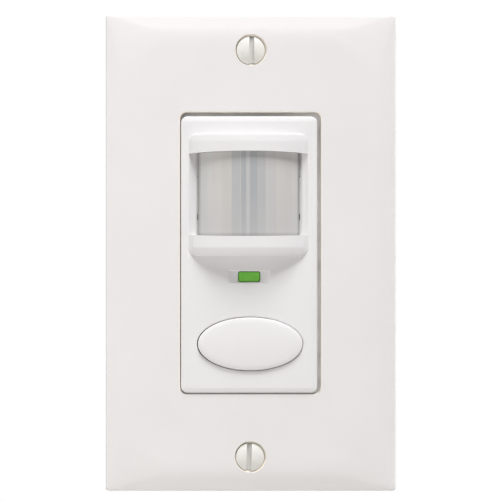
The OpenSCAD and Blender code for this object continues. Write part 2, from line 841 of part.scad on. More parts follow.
module light_pipe() color([0.39, 0.69, 0.24]) in_sensor() {
    raised(round_points(light_w, light_h, light_corner_r), face_back - light_flange_t, light_front, light_at);
    block(
        [light_w + light_flange, light_h + light_flange], face_back - light_flange_t, face_back, light_at
    );
    block(
        [light_w - light_shank, light_h - light_shank],
        sensor_front + led_h + led_gap, face_back - light_flange_t + clear, light_at
    );
}

module mounting_strap() color([0.72, 0.73, 0.74]) upright() {
    difference() {
        union() {
            raised(round_points(strap_w, strap_mid_h, strap_corner_r), 0, strap_t);
            block([strap_neck_w, 2 * strap_top - ear_h], 0, strap_t);
            for (s = [-1, 1])
                raised(
                    round_points(ear_w, ear_h, ear_corner_r), 0, strap_t,
                    [0, s * (strap_top - ear_h / 2)]
                );
            block(
                [tab_arm_w, tab_w + tab_gap + strap_corner_r], 0, strap_t,
                [tab_left + tab_arm_w / 2, tab_top + (tab_gap + strap_corner_r - tab_w) / 2]
            );
        }
        block([window_w, 2 * window_top], -past, strap_t + past, face_shift);
        for (s = [-1, 1]) {
            rod(plate_screw_r + thread_clear, -past, strap_t + past, [0, s * plate_screw_pitch / 2]);
            for (sx = [-1, 1])
                rod(
                    box_slot_r, -past, strap_t + past,
                    [sx * (box_slot_len / 2 - box_slot_r), s * box_screw_pitch / 2]
                );
            block(
                [box_slot_len - 2 * box_slot_r, 2 * box_slot_r], -past, strap_t + past,
                [0, s * box_screw_pitch / 2]
            );
        }
        translate(face_shift) for (p = posts) rod(post_bore_r, -past, strap_t + past, p);
    }
    difference() {
        block([tab_t, tab_w], tab_back, strap_t, [tab_left + tab_t / 2, ground_y]);
        side_rod(
            ground_screw_r + thread_clear, tab_left - past, tab_left + tab_t + past, ground_y, ground_z
        );
    }
}

module box_screws() color([0.78, 0.78, 0.76]) upright() for (s = [-1, 1])
    translate([0, s * box_screw_pitch / 2, 0]) difference() {
        union() {
            rod(box_screw_r, -box_screw_len, 0);
            rod(box_neck_r, -past, strap_t + past);
            rod(box_head_r, strap_t, strap_t + box_head_h);
        }
        block(
            [2 * box_head_r + past, driver_slot_w],
            strap_t + box_head_h - driver_slot_d, strap_t + box_head_h + past
        );
    }

module ground_screw() color([0.24, 0.55, 0.33]) upright() difference() {
    union() {
        side_rod(ground_screw_r, tab_left - past, tab_left + tab_t + ground_tail, ground_y, ground_z);
        side_rod(
            ground_head_w / 2 / cos(30), tab_left - ground_head_h, tab_left, ground_y, ground_z, sides = 6
        );
    }
    translate([tab_left - ground_head_h, ground_y, ground_z])
        cube([2 * driver_slot_d, 2 * ground_head_w, driver_slot_w], center = true);
}

module terminal_pocket(y) {
    z0 = pocket_back - pocket_wall;
    z1 = pocket_front + pocket_wall;
    x0 = pocket_floor_x - pocket_wall;
    x1 = housing_w / 2 - housing_wall / 2;
    block([x1 - x0, pocket_h + 2 * pocket_wall], z0, z1, [(x0 + x1) / 2, y]);
}

module terminal_hollow(y) {
    x1 = housing_w / 2 + past;
    block([x1 - pocket_floor_x, pocket_h], pocket_back, pocket_front, [(pocket_floor_x + x1) / 2, y]);
    side_rod(
        terminal_screw_r + 2 * clear, pocket_floor_x - pocket_wall - past, pocket_floor_x + past,
        y, pocket_mid_z
    );
    block(
        [terminal_plate_t + 2 * clear, terminal_leg_w + 2 * clear], pocket_back - pocket_wall - past,
        pocket_back + past, [pocket_floor_x + terminal_plate_t / 2 + clear, y]
    );
}

module rear_housing() color([0.16, 0.16, 0.17]) in_sensor() difference() {
    union() {
        difference() {
            raised(round_points(housing_w, housing_h, housing_corner_r), housing_back, 0);
            raised(round_points(inner_w, inner_h, housing_corner_r - housing_wall), floor_z, past);
        }
        for (p = posts) {
            rod(post_base_r, housing_back, power_back, p);
            rod(post_mid_r, power_back - clear, sensor_back, p);
            rod(post_tip_r, sensor_back - clear, 0, p);
        }
        for (y = terminal_y) terminal_pocket(y);
    }
    for (p = posts) {
        rod(post_bore_r, housing_back - past, past, p);
        rod(head_pocket_r, housing_back - past, head_seat, p);
    }
    for (y = terminal_y) terminal_hollow(y);
}

module housing_screws() color([0.72, 0.72, 0.7]) in_sensor() for (p = posts) translate([p[0], p[1], 0])
    difference() {
        union() {
            rod(housing_head_r, housing_back + head_sunk, head_seat);
            rod(housing_screw_r, head_seat - clear, boss_hole_end - 2 * clear);
        }
        for (a = [0, 90]) rotate(a)
            block([cross_len, cross_w], housing_back - past, housing_back + head_sunk + cross_d);
    }

// A circuit board with holes for the posts that carry it
module board(z0, z1, post_hole_r) difference() {
    raised(round_points(board_w, board_h, board_corner_r), z0, z1);
    for (p = posts) rod(post_hole_r, z0 - past, z1 + past, p);
    for (p = header_pin_at) block([pin_hole_w, pin_hole_w], z0 - past, z1 + past, p);
}

module sensor_board() color([0.13, 0.4, 0.22]) in_sensor() difference() {
    board(sensor_back, sensor_front, post_tip_r + clear);
    leads(pir_leads, pir_lead_r + clear, sensor_back - past, sensor_front + past);
}

module pir_header() color([0.72, 0.66, 0.5]) in_sensor() {
    rod(header_flange_r, sensor_front, sensor_front + header_flange_t, pir_at);
    leads(pir_leads, pir_lead_r, sensor_back - lead_tail, sensor_front + header_flange_t / 2);
}

module pir_element() color([0.85, 0.83, 0.76]) in_sensor()
    block(element_size, sensor_front + header_flange_t, element_front, pir_at);

module pir_can() color([0.76, 0.76, 0.74]) in_sensor() difference() {
    rod(can_r, sensor_front + header_flange_t, can_top, pir_at);
    rod(can_r - can_wall, sensor_front, can_top - can_wall, pir_at);
    block(can_window, sensor_front, can_top + past, pir_at);
}

module pir_window() color([0.2, 0.2, 0.24]) in_sensor()
    block(
        [can_window[0] + 2 * window_lap, can_window[1] + 2 * window_lap],
        can_top - can_wall - window_t, can_top - can_wall, pir_at
    );

module indicator_led() color([0.85, 0.88, 0.7]) in_sensor() {
    block(led_size, sensor_front, sensor_front + led_h / 2, light_at);
    block(led_top_size, sensor_front, sensor_front + led_h, light_at);
}

module tact_switch_base() color([0.12, 0.12, 0.12]) in_sensor() difference() {
    top = sensor_front + tact_body_h;
    block([tact_w, tact_w], sensor_front, top, button_at);
    rod(plunger_r + 2 * clear, top - tact_well_d, top + past, button_at);
}

module tact_switch_cover() color([0.75, 0.75, 0.74]) in_sensor() difference() {
    block([tact_lid_w, tact_lid_w], sensor_front + tact_body_h, tact_lid_front, button_at);
    rod(plunger_r + 2 * clear, sensor_front, tact_lid_front + past, button_at);
}

module tact_plunger() color([0.1, 0.1, 0.1]) in_sensor()
    rod(plunger_r, sensor_front + tact_body_h - plunger_sunk, plunger_top, button_at);

module control_chip() color([0.11, 0.11, 0.12]) in_sensor()
    block(chip_size, sensor_front + chip_lift, sensor_front + chip_lift + chip_h, chip_at);

// Flat leads that come out of the chip's sides and stand on the board
module chip_leads() color([0.77, 0.77, 0.75]) in_sensor()
    for (s = [-1, 1]) for (i = [0:chip_lead_count - 1])
        translate([
            chip_at[0] + s * chip_size[0] / 2,
            chip_at[1] + (i - (chip_lead_count - 1) / 2) * chip_lead_pitch,
            0
        ]) {
            mid = sensor_front + chip_lift + chip_h / 2;
            block([chip_lead_t, chip_lead_w], sensor_front, mid, [s * chip_lead_t / 2, 0]);
            block(
                [chip_lead_reach, chip_lead_w], sensor_front, sensor_front + chip_lead_t,
                [s * chip_lead_reach / 2, 0]
            );
        }

module header_block() color([0.1, 0.1, 0.11]) in_sensor() difference() {
    block([header_w, header_len], power_front, sensor_back, header_at);
    for (p = header_pin_at) block([pin_hole_w, pin_hole_w], power_front - past, sensor_back + past, p);
}

module header_pins() color([0.83, 0.7, 0.38]) in_sensor()
    for (p = header_pin_at) block([pin_w, pin_w], power_back - pin_tail, sensor_front + pin_tail, p);

module power_board() color([0.36, 0.27, 0.13]) in_sensor() difference() {
    board(power_back, power_front, post_mid_r + clear);
    translate([relay_at[0], relay_at[1], 0])
        leads(relay_pin_at, relay_pin_r + clear, power_back - past, power_front + past);
    leads(board_leads, lead_r + clear, power_back - past, power_front + past);
    for (y = terminal_y)
        block(
            [terminal_plate_t + 2 * clear, terminal_leg_w + 2 * clear], power_back - past, power_front + past,
            [pocket_floor_x + terminal_plate_t / 2, y]
        );
}

// Places a piece on the relay's middle
module in_relay() in_sensor() translate([relay_at[0], relay_at[1], 0]) children();

module relay_base() color([0.14, 0.14, 0.15]) in_relay() difference() {
    block(
        [relay_w, relay_len] - 2 * (relay_wall + relay_base_gap) * [1, 1], power_front, relay_floor
    );
    leads(relay_pin_at, relay_pin_r + clear, power_front - past, relay_floor + past);
}

module relay_yoke() color([0.62, 0.62, 0.63]) in_relay() {
    difference() {
        block(
            [yoke_leg_w, yoke_back - core_u + pole_r + core_r], relay_floor, yoke_leg_top,
            [0, (yoke_back + core_u - pole_r - core_r) / 2]
        );
        rod(core_spigot_r + thread_clear, relay_floor - past, yoke_leg_top + past, [0, core_u]);
    }
    block([yoke_w, yoke_t], relay_floor, yoke_top, [0, yoke_back - yoke_t / 2]);
    rod(relay_pin_r, power_back - lead_tail, relay_floor + clear, [0, yoke_pin_u]);
}

module relay_core() color([0.58, 0.58, 0.6]) in_relay() {
    rod(core_spigot_r, relay_floor + thread_clear, yoke_leg_top + clear, [0, core_u]);
    rod(core_r, yoke_leg_top, pole_front - pole_t + clear, [0, core_u]);
    rod(pole_r, pole_front - pole_t, pole_front, [0, core_u]);
}

module relay_bobbin() color([0.86, 0.85, 0.8]) in_relay() difference() {
    union() {
        rod(bobbin_barrel_r, yoke_leg_top, bobbin_front, [0, core_u]);
        rod(bobbin_flange_r, yoke_leg_top, yoke_leg_top + bobbin_flange_t, [0, core_u]);
        rod(bobbin_flange_r, bobbin_front - bobbin_flange_t, bobbin_front, [0, core_u]);
        leads(coil_pin_at, relay_pin_r, power_back - lead_tail, yoke_leg_top + bobbin_flange_t / 2);
    }
    rod(bobbin_bore_r, yoke_leg_top - past, bobbin_front + past, [0, core_u]);
}

module relay_winding() color([0.72, 0.38, 0.2]) in_relay() difference() {
    low = yoke_leg_top + bobbin_flange_t + winding_gap;
    top = bobbin_front - bobbin_flange_t - winding_gap;
    rod(winding_r, low, top, [0, core_u]);
    rod(bobbin_barrel_r + winding_gap, low - past, top + past, [0, core_u]);
}

module relay_fixed_contact() color([0.72, 0.5, 0.3]) in_relay() {
    strip_top = fixed_contact_front - contact_pad_t;
    rod(relay_pin_r, power_back - lead_tail, relay_floor + clear, [0, contact_strip_u]);
    block([contact_strip_w, contact_strip_t], relay_floor, strip_top, [0, contact_strip_u]);
    block(
        [contact_strip_w, contact_u + contact_r - contact_strip_u + contact_strip_t / 2],
        strip_top - contact_strip_t, strip_top,
        [0, (contact_u + contact_r + contact_strip_u - contact_strip_t / 2) / 2]
    );
    rod(contact_r, strip_top - clear, fixed_contact_front, [0, contact_u]);
}

module relay_armature() color([0.66, 0.66, 0.68]) in_relay()
    block(
        [armature_w, yoke_back - armature_low_u], armature_back, armature_back + armature_t,
        [0, (yoke_back + armature_low_u) / 2]
    );

module relay_contact_spring() color([0.76, 0.54, 0.32]) in_relay() {
    low_u = contact_u - contact_r - spring_end;
    top_u = core_u + spring_reach;
    blade_back = armature_back + armature_t;
    block([spring_w, top_u - low_u], blade_back, blade_back + spring_t, [0, (low_u + top_u) / 2]);
    rod(contact_r, blade_back - moving_contact_h, blade_back + clear, [0, contact_u]);
    for (s = [-1, 1])
        rod(rivet_r, blade_back, blade_back + spring_t + rivet_h, [s * spring_w / 4, core_u]);
}

module relay_cover() color([0.16, 0.2, 0.3]) in_relay() difference() {
    block([relay_w, relay_len], power_front, power_front + relay_h);
    block([relay_w, relay_len] - 2 * relay_wall * [1, 1], power_front - past, relay_ceiling);
}

module film_capacitor() color([0.72, 0.6, 0.2]) in_sensor() {
    block(film_size, power_front, power_front + film_h, film_at);
    leads(film_leads, lead_r, power_back - lead_tail, power_front + clear);
}

module electrolytic_capacitors() color([0.2, 0.24, 0.36]) in_sensor() {
    waist_r = electrolytic_r - electrolytic_groove;
    for (p = electrolytic_at) translate([p[0], p[1], power_front]) rotate_extrude() polygon([
        [0, 0], [electrolytic_r, 0],
        [electrolytic_r, electrolytic_groove_z - electrolytic_groove], [waist_r, electrolytic_groove_z],
        [electrolytic_r, electrolytic_groove_z + electrolytic_groove],
        [electrolytic_r, electrolytic_h - electrolytic_groove], [waist_r, electrolytic_h], [0, electrolytic_h]
    ]);
    leads(electrolytic_leads, lead_r, power_back - lead_tail, power_front + clear);
}

module varistor() color([0.16, 0.3, 0.56]) in_sensor() {
    mid_z = power_front + varistor_lift + varistor_r;
    side_rod(
        varistor_r, varistor_at[0] - varistor_t / 2, varistor_at[0] + varistor_t / 2, varistor_at[1], mid_z
    );
    leads(varistor_leads, lead_r, power_back - lead_tail, mid_z - varistor_r / 2);
}

module rectifier() color([0.1, 0.1, 0.1]) in_sensor() {
    block(rectifier_size, power_front, power_front + rectifier_h, rectifier_at);
    leads(rectifier_leads, lead_r, power_back - lead_tail, power_front + clear);
}

module fusible_resistor() color([0.55, 0.62, 0.5]) in_sensor() {
    mid_z = power_front + fuse_r;
    half = fuse_len / 2 + fuse_reach;
    translate([fuse_at[0], fuse_at[1], mid_z]) rotate([-90, 0, 0]) {
        cylinder(r = fuse_r, h = fuse_len, center = true);
        cylinder(r = lead_r, h = 2 * half, center = true);
    }
    leads(fuse_leads, lead_r, power_back - lead_tail, mid_z);
}

module terminal_plates() color([0.78, 0.62, 0.3]) in_sensor() for (y = terminal_y) difference() {
    x = pocket_floor_x + terminal_plate_t / 2;
    union() {
        block(
            [terminal_plate_t, terminal_plate_w], pocket_back + terminal_gap, pocket_front - terminal_gap,
            [x, y]
        );
        block(
            [terminal_plate_t, terminal_leg_w], power_back - lead_tail, pocket_back + 2 * terminal_gap,
            [x, y]
        );
    }
    side_rod(
        terminal_screw_r + thread_clear, pocket_floor_x - past, pocket_floor_x + terminal_plate_t + past,
        y, pocket_mid_z
    );
}

module terminal_clamps() color([0.8, 0.72, 0.5]) in_sensor() for (y = terminal_y) difference() {
    block(
        [clamp_t, terminal_plate_w],
        pocket_mid_z - terminal_plate_w / 2, pocket_mid_z + terminal_plate_w / 2,
        [clamp_x + clamp_t / 2, y]
    );
    side_rod(terminal_screw_r + clear, clamp_x - past, clamp_x + clamp_t + past, y, pocket_mid_z);
}

module terminal_screws() color([0.8, 0.66, 0.34]) in_sensor() for (y = terminal_y) difference() {
    union() {
        side_rod(
            terminal_screw_r, pocket_floor_x - terminal_tail, clamp_x + clamp_t + clear, y, pocket_mid_z
        );
        side_rod(
            terminal_head_r, clamp_x + clamp_t, clamp_x + clamp_t + terminal_head_h, y, pocket_mid_z
        );
    }
    translate([clamp_x + clamp_t + terminal_head_h, y, pocket_mid_z])
        cube([2 * driver_slot_d, 3 * terminal_head_r, driver_slot_w], center = true);
}

wall_plate();
plate_screws();
front_cover();
lens();
lens_retainer();
push_button();
light_pipe();
mounting_strap();
box_screws();
ground_screw();
rear_housing();
housing_screws();
sensor_board();
pir_header();
pir_element();
pir_can();
pir_window();
indicator_led();
tact_switch_base();
tact_switch_cover();
tact_plunger();
control_chip();
chip_leads();
header_block();
header_pins();
power_board();
relay_base();
relay_yoke();
relay_core();
relay_bobbin();
relay_winding();
relay_fixed_contact();
relay_armature();
relay_contact_spring();
relay_cover();
film_capacitor();
electrolytic_capacitors();
varistor();
rectifier();
fusible_resistor();
terminal_plates();
terminal_clamps();
terminal_screws();
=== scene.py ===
"""Looks of a motion sensor light switch: a white wall plate, the sensor's cover with its hooded lens,
the green indicator and the oval button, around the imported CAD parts.

The shown pieces are drawn face up in millimetres, as in the part's source: x to the right, y up the wall,
z out into the room, with z = 0 on the wall. finish_piece() stands them up and turns them into metres.
"""

import math

import bmesh
import bpy
from mathutils import Matrix, Vector


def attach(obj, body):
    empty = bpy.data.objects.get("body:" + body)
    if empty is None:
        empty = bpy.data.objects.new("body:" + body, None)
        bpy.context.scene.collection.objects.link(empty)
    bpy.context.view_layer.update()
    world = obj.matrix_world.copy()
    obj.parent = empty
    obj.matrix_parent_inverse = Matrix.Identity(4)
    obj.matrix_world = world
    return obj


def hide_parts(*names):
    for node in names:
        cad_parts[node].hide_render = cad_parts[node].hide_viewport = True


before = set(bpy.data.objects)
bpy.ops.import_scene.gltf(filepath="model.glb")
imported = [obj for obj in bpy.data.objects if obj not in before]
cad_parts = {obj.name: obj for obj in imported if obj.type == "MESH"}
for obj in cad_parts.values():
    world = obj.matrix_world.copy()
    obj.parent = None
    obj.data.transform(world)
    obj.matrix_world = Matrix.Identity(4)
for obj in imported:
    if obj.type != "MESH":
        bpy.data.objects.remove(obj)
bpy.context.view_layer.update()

# Wall plate, in millimetres. The border's slope is in degrees, by the distance from the edge.
# Its rings are drawn as far in as BORDER_IN, and the cuts in the flat front carry it on from there.
PLATE_W, PLATE_H = 69.85, 114.3
PLATE_BACK, PLATE_FRONT = 3.8, 6.0
FOOT_CORNER, RIM_CORNER, FRONT_CORNER = 0.3, 0.9, 12.0
RIM_AT, RIM_ROUND, RIM_STEPS, SIDE_TILT = (0.863, 4.71), 0.4, 5, 84.5
BORDER, BORDER_IN, BORDER_RINGS = ((3.4, 12), (5.3, 4), (7.4, 0)), 4.93, 12
RIM_IN = RIM_AT[0] - RIM_ROUND * math.sin(math.radians(BORDER[0][1]))
FRONT_CUTS, FRONT_STEP = 12, 0.5
EDGE_WALL, HOLLOW_CORNER = 3.4, 4.0
OPENING_W, OPENING_H, OPENING_CORNER = 33.45, 66.8, 1.6
OPENING_EDGE, OPENING_COLLAR, LOW_WALL = 0.2, 0.5, 0.9

# Screws of the plate. A screw is given by its place, its turn in degrees and the slot's distance from its axis.
SCREW_PITCH = 96.84
HOLES = ((0.15, SCREW_PITCH / 2 - 0.15), (0, -SCREW_PITCH / 2 - 0.05))
SCREWS = (((0.05, SCREW_PITCH / 2 - 0.27), 0, 0.26), ((-0.1, -SCREW_PITCH / 2 - 0.1), -2, -0.25))
COUNTERSINK = math.tan(math.radians(41))
HOLE_R, HOLE_SMALL_R = 3.7, 2.1
HOLE_WALL, SEAT_D, SLIT = ((0.1, 0), (0.07, 0), (0.02, 0.36)), 0.66, 0.13
HEAD_R, HEAD_CROWN, HEAD_RIM, CROWN_STEPS = 3.35, 0.76, 0.12, 8
SLOT_W, SLOT_D, SLOT_SHADE_TOP = 1.17, 1.16, 0.5
SHANK_R, SHANK_TAIL, THREAD_PITCH, THREAD_D, THREAD_START = 1.75, 6.0, 0.79, 0.26, 0.4
BARE_BELOW = PLATE_BACK - 0.2

# Screws of the wall box
BOX_PITCH, BOX_SCREW_TAIL = 83.34, 20.0
BOX_SCREWS = (((0, BOX_PITCH / 2), 78, 0), ((0, -BOX_PITCH / 2), 102, 0))
BOX_HEAD_R, BOX_HEAD_H, BOX_HEAD_EDGE, BOX_SLOT_D = 3.4, 2.1, 0.8, 1.0

# Face of the cover. A moulded edge is given by its width and its depth, the band just inside it by its width
# and its corner. A corner loss is how fast the corner's radius shrinks along the edge.
SENSOR_AT = Vector((-0.33, -0.30, 0))
FACE_W, FACE_H, FACE_CORNER, FACE_AT = 32.35, 65.63, 1.5, (0, -0.09)
FACE_EDGE, FACE_BAND, FACE_CORNER_LOSS = (1.2, 0.42), (0.1, 0.4), 0.9
FACE_Z, FACE_BACK, STRAP_FRONT = 6.5, 4.7, 1.2
COVER_WALL, COVER_CORNER = 1.6, 0.3

# Head of the cover: the hood over the lens, the ledge below it and the cheeks beside it
HEAD_SHIFT = Vector((-0.14, -0.08, 0))
HOOD_HALF_W, HOOD_TOP, LEDGE_BOTTOM = 14.2, 28.62, -0.3
HOOD_BULGE, HOOD_CORNER, HOOD_EDGE, LEDGE_EDGE = 4.495, 2.0, (1.9, 0.42), (2.15, 0.9)
HOOD_UNDER, HOOD_RISE, LEDGE_TOP, LEDGE_DIP = 24.0, 0.5, 4.67, 0.18
HEAD_BAND, HEAD_CUTS, HEAD_SPARE, SIDE_SHARE = (0.15, 0.1), 48, 4, 0.5
HEAD_LAP, HEAD_CORNER_LOSS = (0.01, 0.8), 0.8
LIP_R, LIP_BEND, LIP_BACK = 0.15, 0.6, 0.5
WINDOW_HALF_W, CHEEK_DEPTH, CHEEK_SPARE, FRAME_BACK = 12.05, 1.25, 1.5, 3.2
NOTCH_D, NOTCHES = 0.13, ((8.2, 9.66), (18.4, 18.8))
HOOD_FRONT = FACE_Z + HOOD_BULGE
HOOD_RUNOUT = HOOD_HALF_W + 0.3
HOOD_R = (HOOD_RUNOUT**2 + HOOD_BULGE**2) / (2 * HOOD_BULGE)

# Lens, with its upright bands: where each begins, from the middle, and its tone
LENS_R, LENS_HALF_W, LENS_T, LENS_RECESS = 20.6, 11.95, 0.7, 0.95
LENS_GAP, LENS_FLANGE, LENS_STEPS = 0.05, 0.35, 60
LENS_TONES = {
    "deepest": (0.34, 0.34, 0.33), "deep": (0.43, 0.43, 0.42), "shade": (0.5, 0.5, 0.49),
    "edge": (0.585, 0.58, 0.565), "light": (0.58, 0.56, 0.54), "warm": (0.575, 0.55, 0.525),
    "cool": (0.475, 0.48, 0.485), "dim": (0.41, 0.42, 0.435), "pale": (0.525, 0.525, 0.52),
    "mild": (0.56, 0.55, 0.54), "rosy": (0.6, 0.58, 0.56), "bright": (0.625, 0.615, 0.6),
}
# The deepest, deep and shade bands at both ends are painted shade along the lens's sides; the bright band near
# the right end is painted light that offsets the curve's shading
LENS_BANDS = (
    (-12.2, "deepest"), (-11.75, "deep"), (-11.55, "shade"), (-11.35, "edge"), (-8.7, "light"),
    (-6.35, "warm"), (-4.0, "cool"), (-1.95, "pale"), (-1.75, "dim"), (-0.55, "pale"),
    (0.3, "dim"), (2.1, "cool"), (4.1, "mild"), (6.55, "rosy"), (8.8, "edge"),
    (9.3, "rosy"), (10.2, "bright"), (11.45, "shade"), (11.65, "deep"), (11.8, "deepest"),
)
# The bands' faded tone, how far and over what height they fade, and the height of the painted shade along the
# lens's foot
LENS_FADED, LENS_FADE, LENS_FADE_H, LENS_FOOT_SHADE_H = (0.53, 0.525, 0.52), 0.5, 11, 0.9

# Button and indicator
BUTTON_W, BUTTON_H, BUTTON_GAP = 25.2, 12.9, 0.17
BUTTON_HOLE_AT, BUTTON_AT = (0.22, -21.3), (0.3, -21.26)
BUTTON_RIM, BUTTON_CROWN, BUTTON_EDGE, BUTTON_BACK = 7.25, 0.25, (1.0, 0.42), 2.2
LIGHT_W, LIGHT_H, LIGHT_AT, LIGHT_SUNK = 5.0, 2.4, (0, -5.36), 0.08
GROOVE_W, GROOVE_H, GROOVE_D, GROOVE_SLOPE, GROOVE_AT = 9.7, 3.15, 0.45, 1.2, (0, -5.3)

# Rear housing, measured into the wall from the strap's back. A post's rings are its radius and height:
# up around it from the floor, then down through its screw hole and out at the back.
HOUSING_W, HOUSING_H, HOUSING_CORNER, HOUSING_WALL = 42.7, 69.6, 3.0, 1.8
HOUSING_BACK, HOUSING_FLOOR, HOUSING_EDGE, HOUSING_BAND = -30.4, -28.4, 0.9, 0.15
LABEL_W, LABEL_H, LABEL_D, LABEL_CORNER = 31.0, 41.0, 0.3, 1.5
POST_X, POST_Y = 12.5, 28.5
POST_RINGS = (
    (3.2, HOUSING_FLOOR), (3.2, -26.1), (2.4, -26.1), (2.4, -9.1), (1.9, -9.1), (1.9, 0), (1.25, 0),
    (1.25, -28.2), (2.4, -28.2), (2.4, HOUSING_BACK + 0.15), (2.55, HOUSING_BACK),
)
TERMINALS_Y, POCKET_FLOOR_X = (-9, 9), 16.1
POCKET_H, POCKET_Z, POCKET_WALL, POCKET_EDGE = 9.4, (-21.5, -11.0), 1.2, 0.15

# A moulded edge from its side to its front, as shares of its width and its depth
EDGE_SHAPE = ((0, 1), (0.02, 0.72), (0.06, 0.55), (0.12, 0.47), (0.4, 0.3), (0.68, 0.14), (0.85, 0.05), (1, 0))

# The photograph's camera, in millimetres
CAMERA_AT, CAMERA_LENS, CAMERA_FILM = (8.0, 450.0, 6.0), 134.3, 36
LOOK_AT = (-0.11, 0.51)

# Lamps: place and size in metres, power and colour
LAMPS = (
    ("key", (0.13, -0.4, 0.905), (0.46, 0.46), 12.2, (0.995, 0.988, 1)),
    ("left", (-0.24, -0.22, 0.0), (0.15, 0.3), 0.25, (1, 0.975, 0.97)),
    ("right_edge", (0.43, 0.15, 0.0), (0.2, 0.4), 0.9, (1, 0.99, 0.97)),
)

# The room's own light, and the floor in metres. FLOOR_WHITE is how much of the floor looks plain white.
ROOM_LIGHT, ROOM_TINT = 0.13, (1, 0.99, 0.96, 1)
FLOOR_HALF_W, FLOOR_Z, FLOOR_WHITE = 0.6, -0.2, 0.6

# Units, the distance within which two places are the same, and the one within which points merge
MM, MICRON = 0.001, 0.000001
NEAR, MERGE = 0.001, 0.0005
STAND_UP = Matrix.Rotation(math.radians(90), 4, "X")
SHARP_ANGLE = math.radians(32)


# Modelling helpers


def rounded_loop(bm, size, radius, z, at=(0, 0), steps=6):
    """The edges of a rectangle with round corners."""
    corners = bmesh.ops.create_grid(bm, x_segments=1, y_segments=1, size=0.5)["verts"]
    bmesh.ops.scale(bm, vec=(size[0], size[1], 1), verts=corners)
    bmesh.ops.translate(bm, vec=(at[0], at[1], z), verts=corners)
    rounded = bmesh.ops.bevel(
        bm, geom=corners, offset=radius, affect="VERTICES", segments=steps, profile=0.5, material=-1
    )
    return open_loop(bm, rounded["verts"][0].link_faces[0])


def oval_loop(bm, size, z, at=(0, 0), steps=96):
    """The edges of an ellipse or a circle."""
    points = bmesh.ops.create_circle(bm, cap_ends=True, radius=0.5, segments=steps)["verts"]
    bmesh.ops.scale(bm, vec=(size[0], size[1], 1), verts=points)
    bmesh.ops.translate(bm, vec=(at[0], at[1], z), verts=points)
    return open_loop(bm, points[0].link_faces[0])


def open_loop(bm, face):
    """Takes a face away and gives its edges."""
    edges = list(face.edges)
    bmesh.ops.delete(bm, geom=[face], context="FACES_ONLY")
    return edges


def grown(size, by):
    """A width and a height, made larger on every side."""
    return size[0] + 2 * by, size[1] + 2 * by


def skin(bm, loops):
    """Joins loops in their order. Gives the first and the last one."""
    for a, b in zip(loops, loops[1:]):
        if abs(a[0].verts[0].co.z - b[0].verts[0].co.z) < NEAR:
            fill(bm, a, b)
        else:
            bmesh.ops.bridge_loops(bm, edges=a + b)
    return loops[0], loops[-1]


def fill(bm, *loops):
    """Fills a flat outline, around the holes in it."""
    bmesh.ops.triangle_fill(bm, use_beauty=True, edges=[e for loop in loops for e in loop])


def cut_at(bm, point, normal, faces=None, clear_outer=False):
    """Cuts all faces, or the given ones, along a plane. Gives the edges of the cut."""
    geom = [*bm.verts, *bm.edges, *bm.faces]
    if faces is not None:
        geom = [*{v for f in faces for v in f.verts}, *{e for f in faces for e in f.edges}, *faces]
    cut = bmesh.ops.bisect_plane(
        bm, geom=geom, plane_co=point, plane_no=normal, clear_outer=clear_outer, dist=MERGE
    )
    return [e for e in cut["geom_cut"] if isinstance(e, bmesh.types.BMEdge)]


def quarter(steps):
    """(sine, cosine) along a quarter turn, from 0 to 90 degrees."""
    turns = [math.pi / 2 * i / steps for i in range(steps + 1)]
    return [(math.sin(a), math.cos(a)) for a in turns]


def made_mesh(name, bm):
    """Turns a finished bmesh into a mesh."""
    mesh = bpy.data.meshes.new(name)
    bm.to_mesh(mesh)
    bm.free()
    return mesh


def add_to(bm, part):
    """Adds a finished part to a piece."""
    mesh = made_mesh("part", part)
    bm.from_mesh(mesh)
    bpy.data.meshes.remove(mesh)


def add_object(name, data):
    """Puts a mesh, a lamp or a camera into the scene, at the origin."""
    made = bpy.data.objects.new(name, data)
    bpy.context.scene.collection.objects.link(made)
    return made


def finish_piece(name, bm, body, nodes, finishes, shift=(0, 0, 0)):
    """Stands a drawn piece up in the frame, shades it and lets it stand for its CAD nodes."""
    bmesh.ops.recalc_face_normals(bm, faces=bm.faces)
    bmesh.ops.translate(bm, vec=shift, verts=bm.verts)
    bmesh.ops.transform(bm, matrix=Matrix.Scale(MM, 4) @ STAND_UP, verts=bm.verts)
    mesh = made_mesh(name, bm)
    mesh.shade_smooth()
    mesh.set_sharp_from_angle(angle=SHARP_ANGLE)
    for finish in finishes:
        mesh.materials.append(finish)
    piece = add_object(name, mesh)
    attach(piece, body)
    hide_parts(*nodes)


# Finishes


def grey(level):
    """A neutral colour."""
    return (level, level, level)


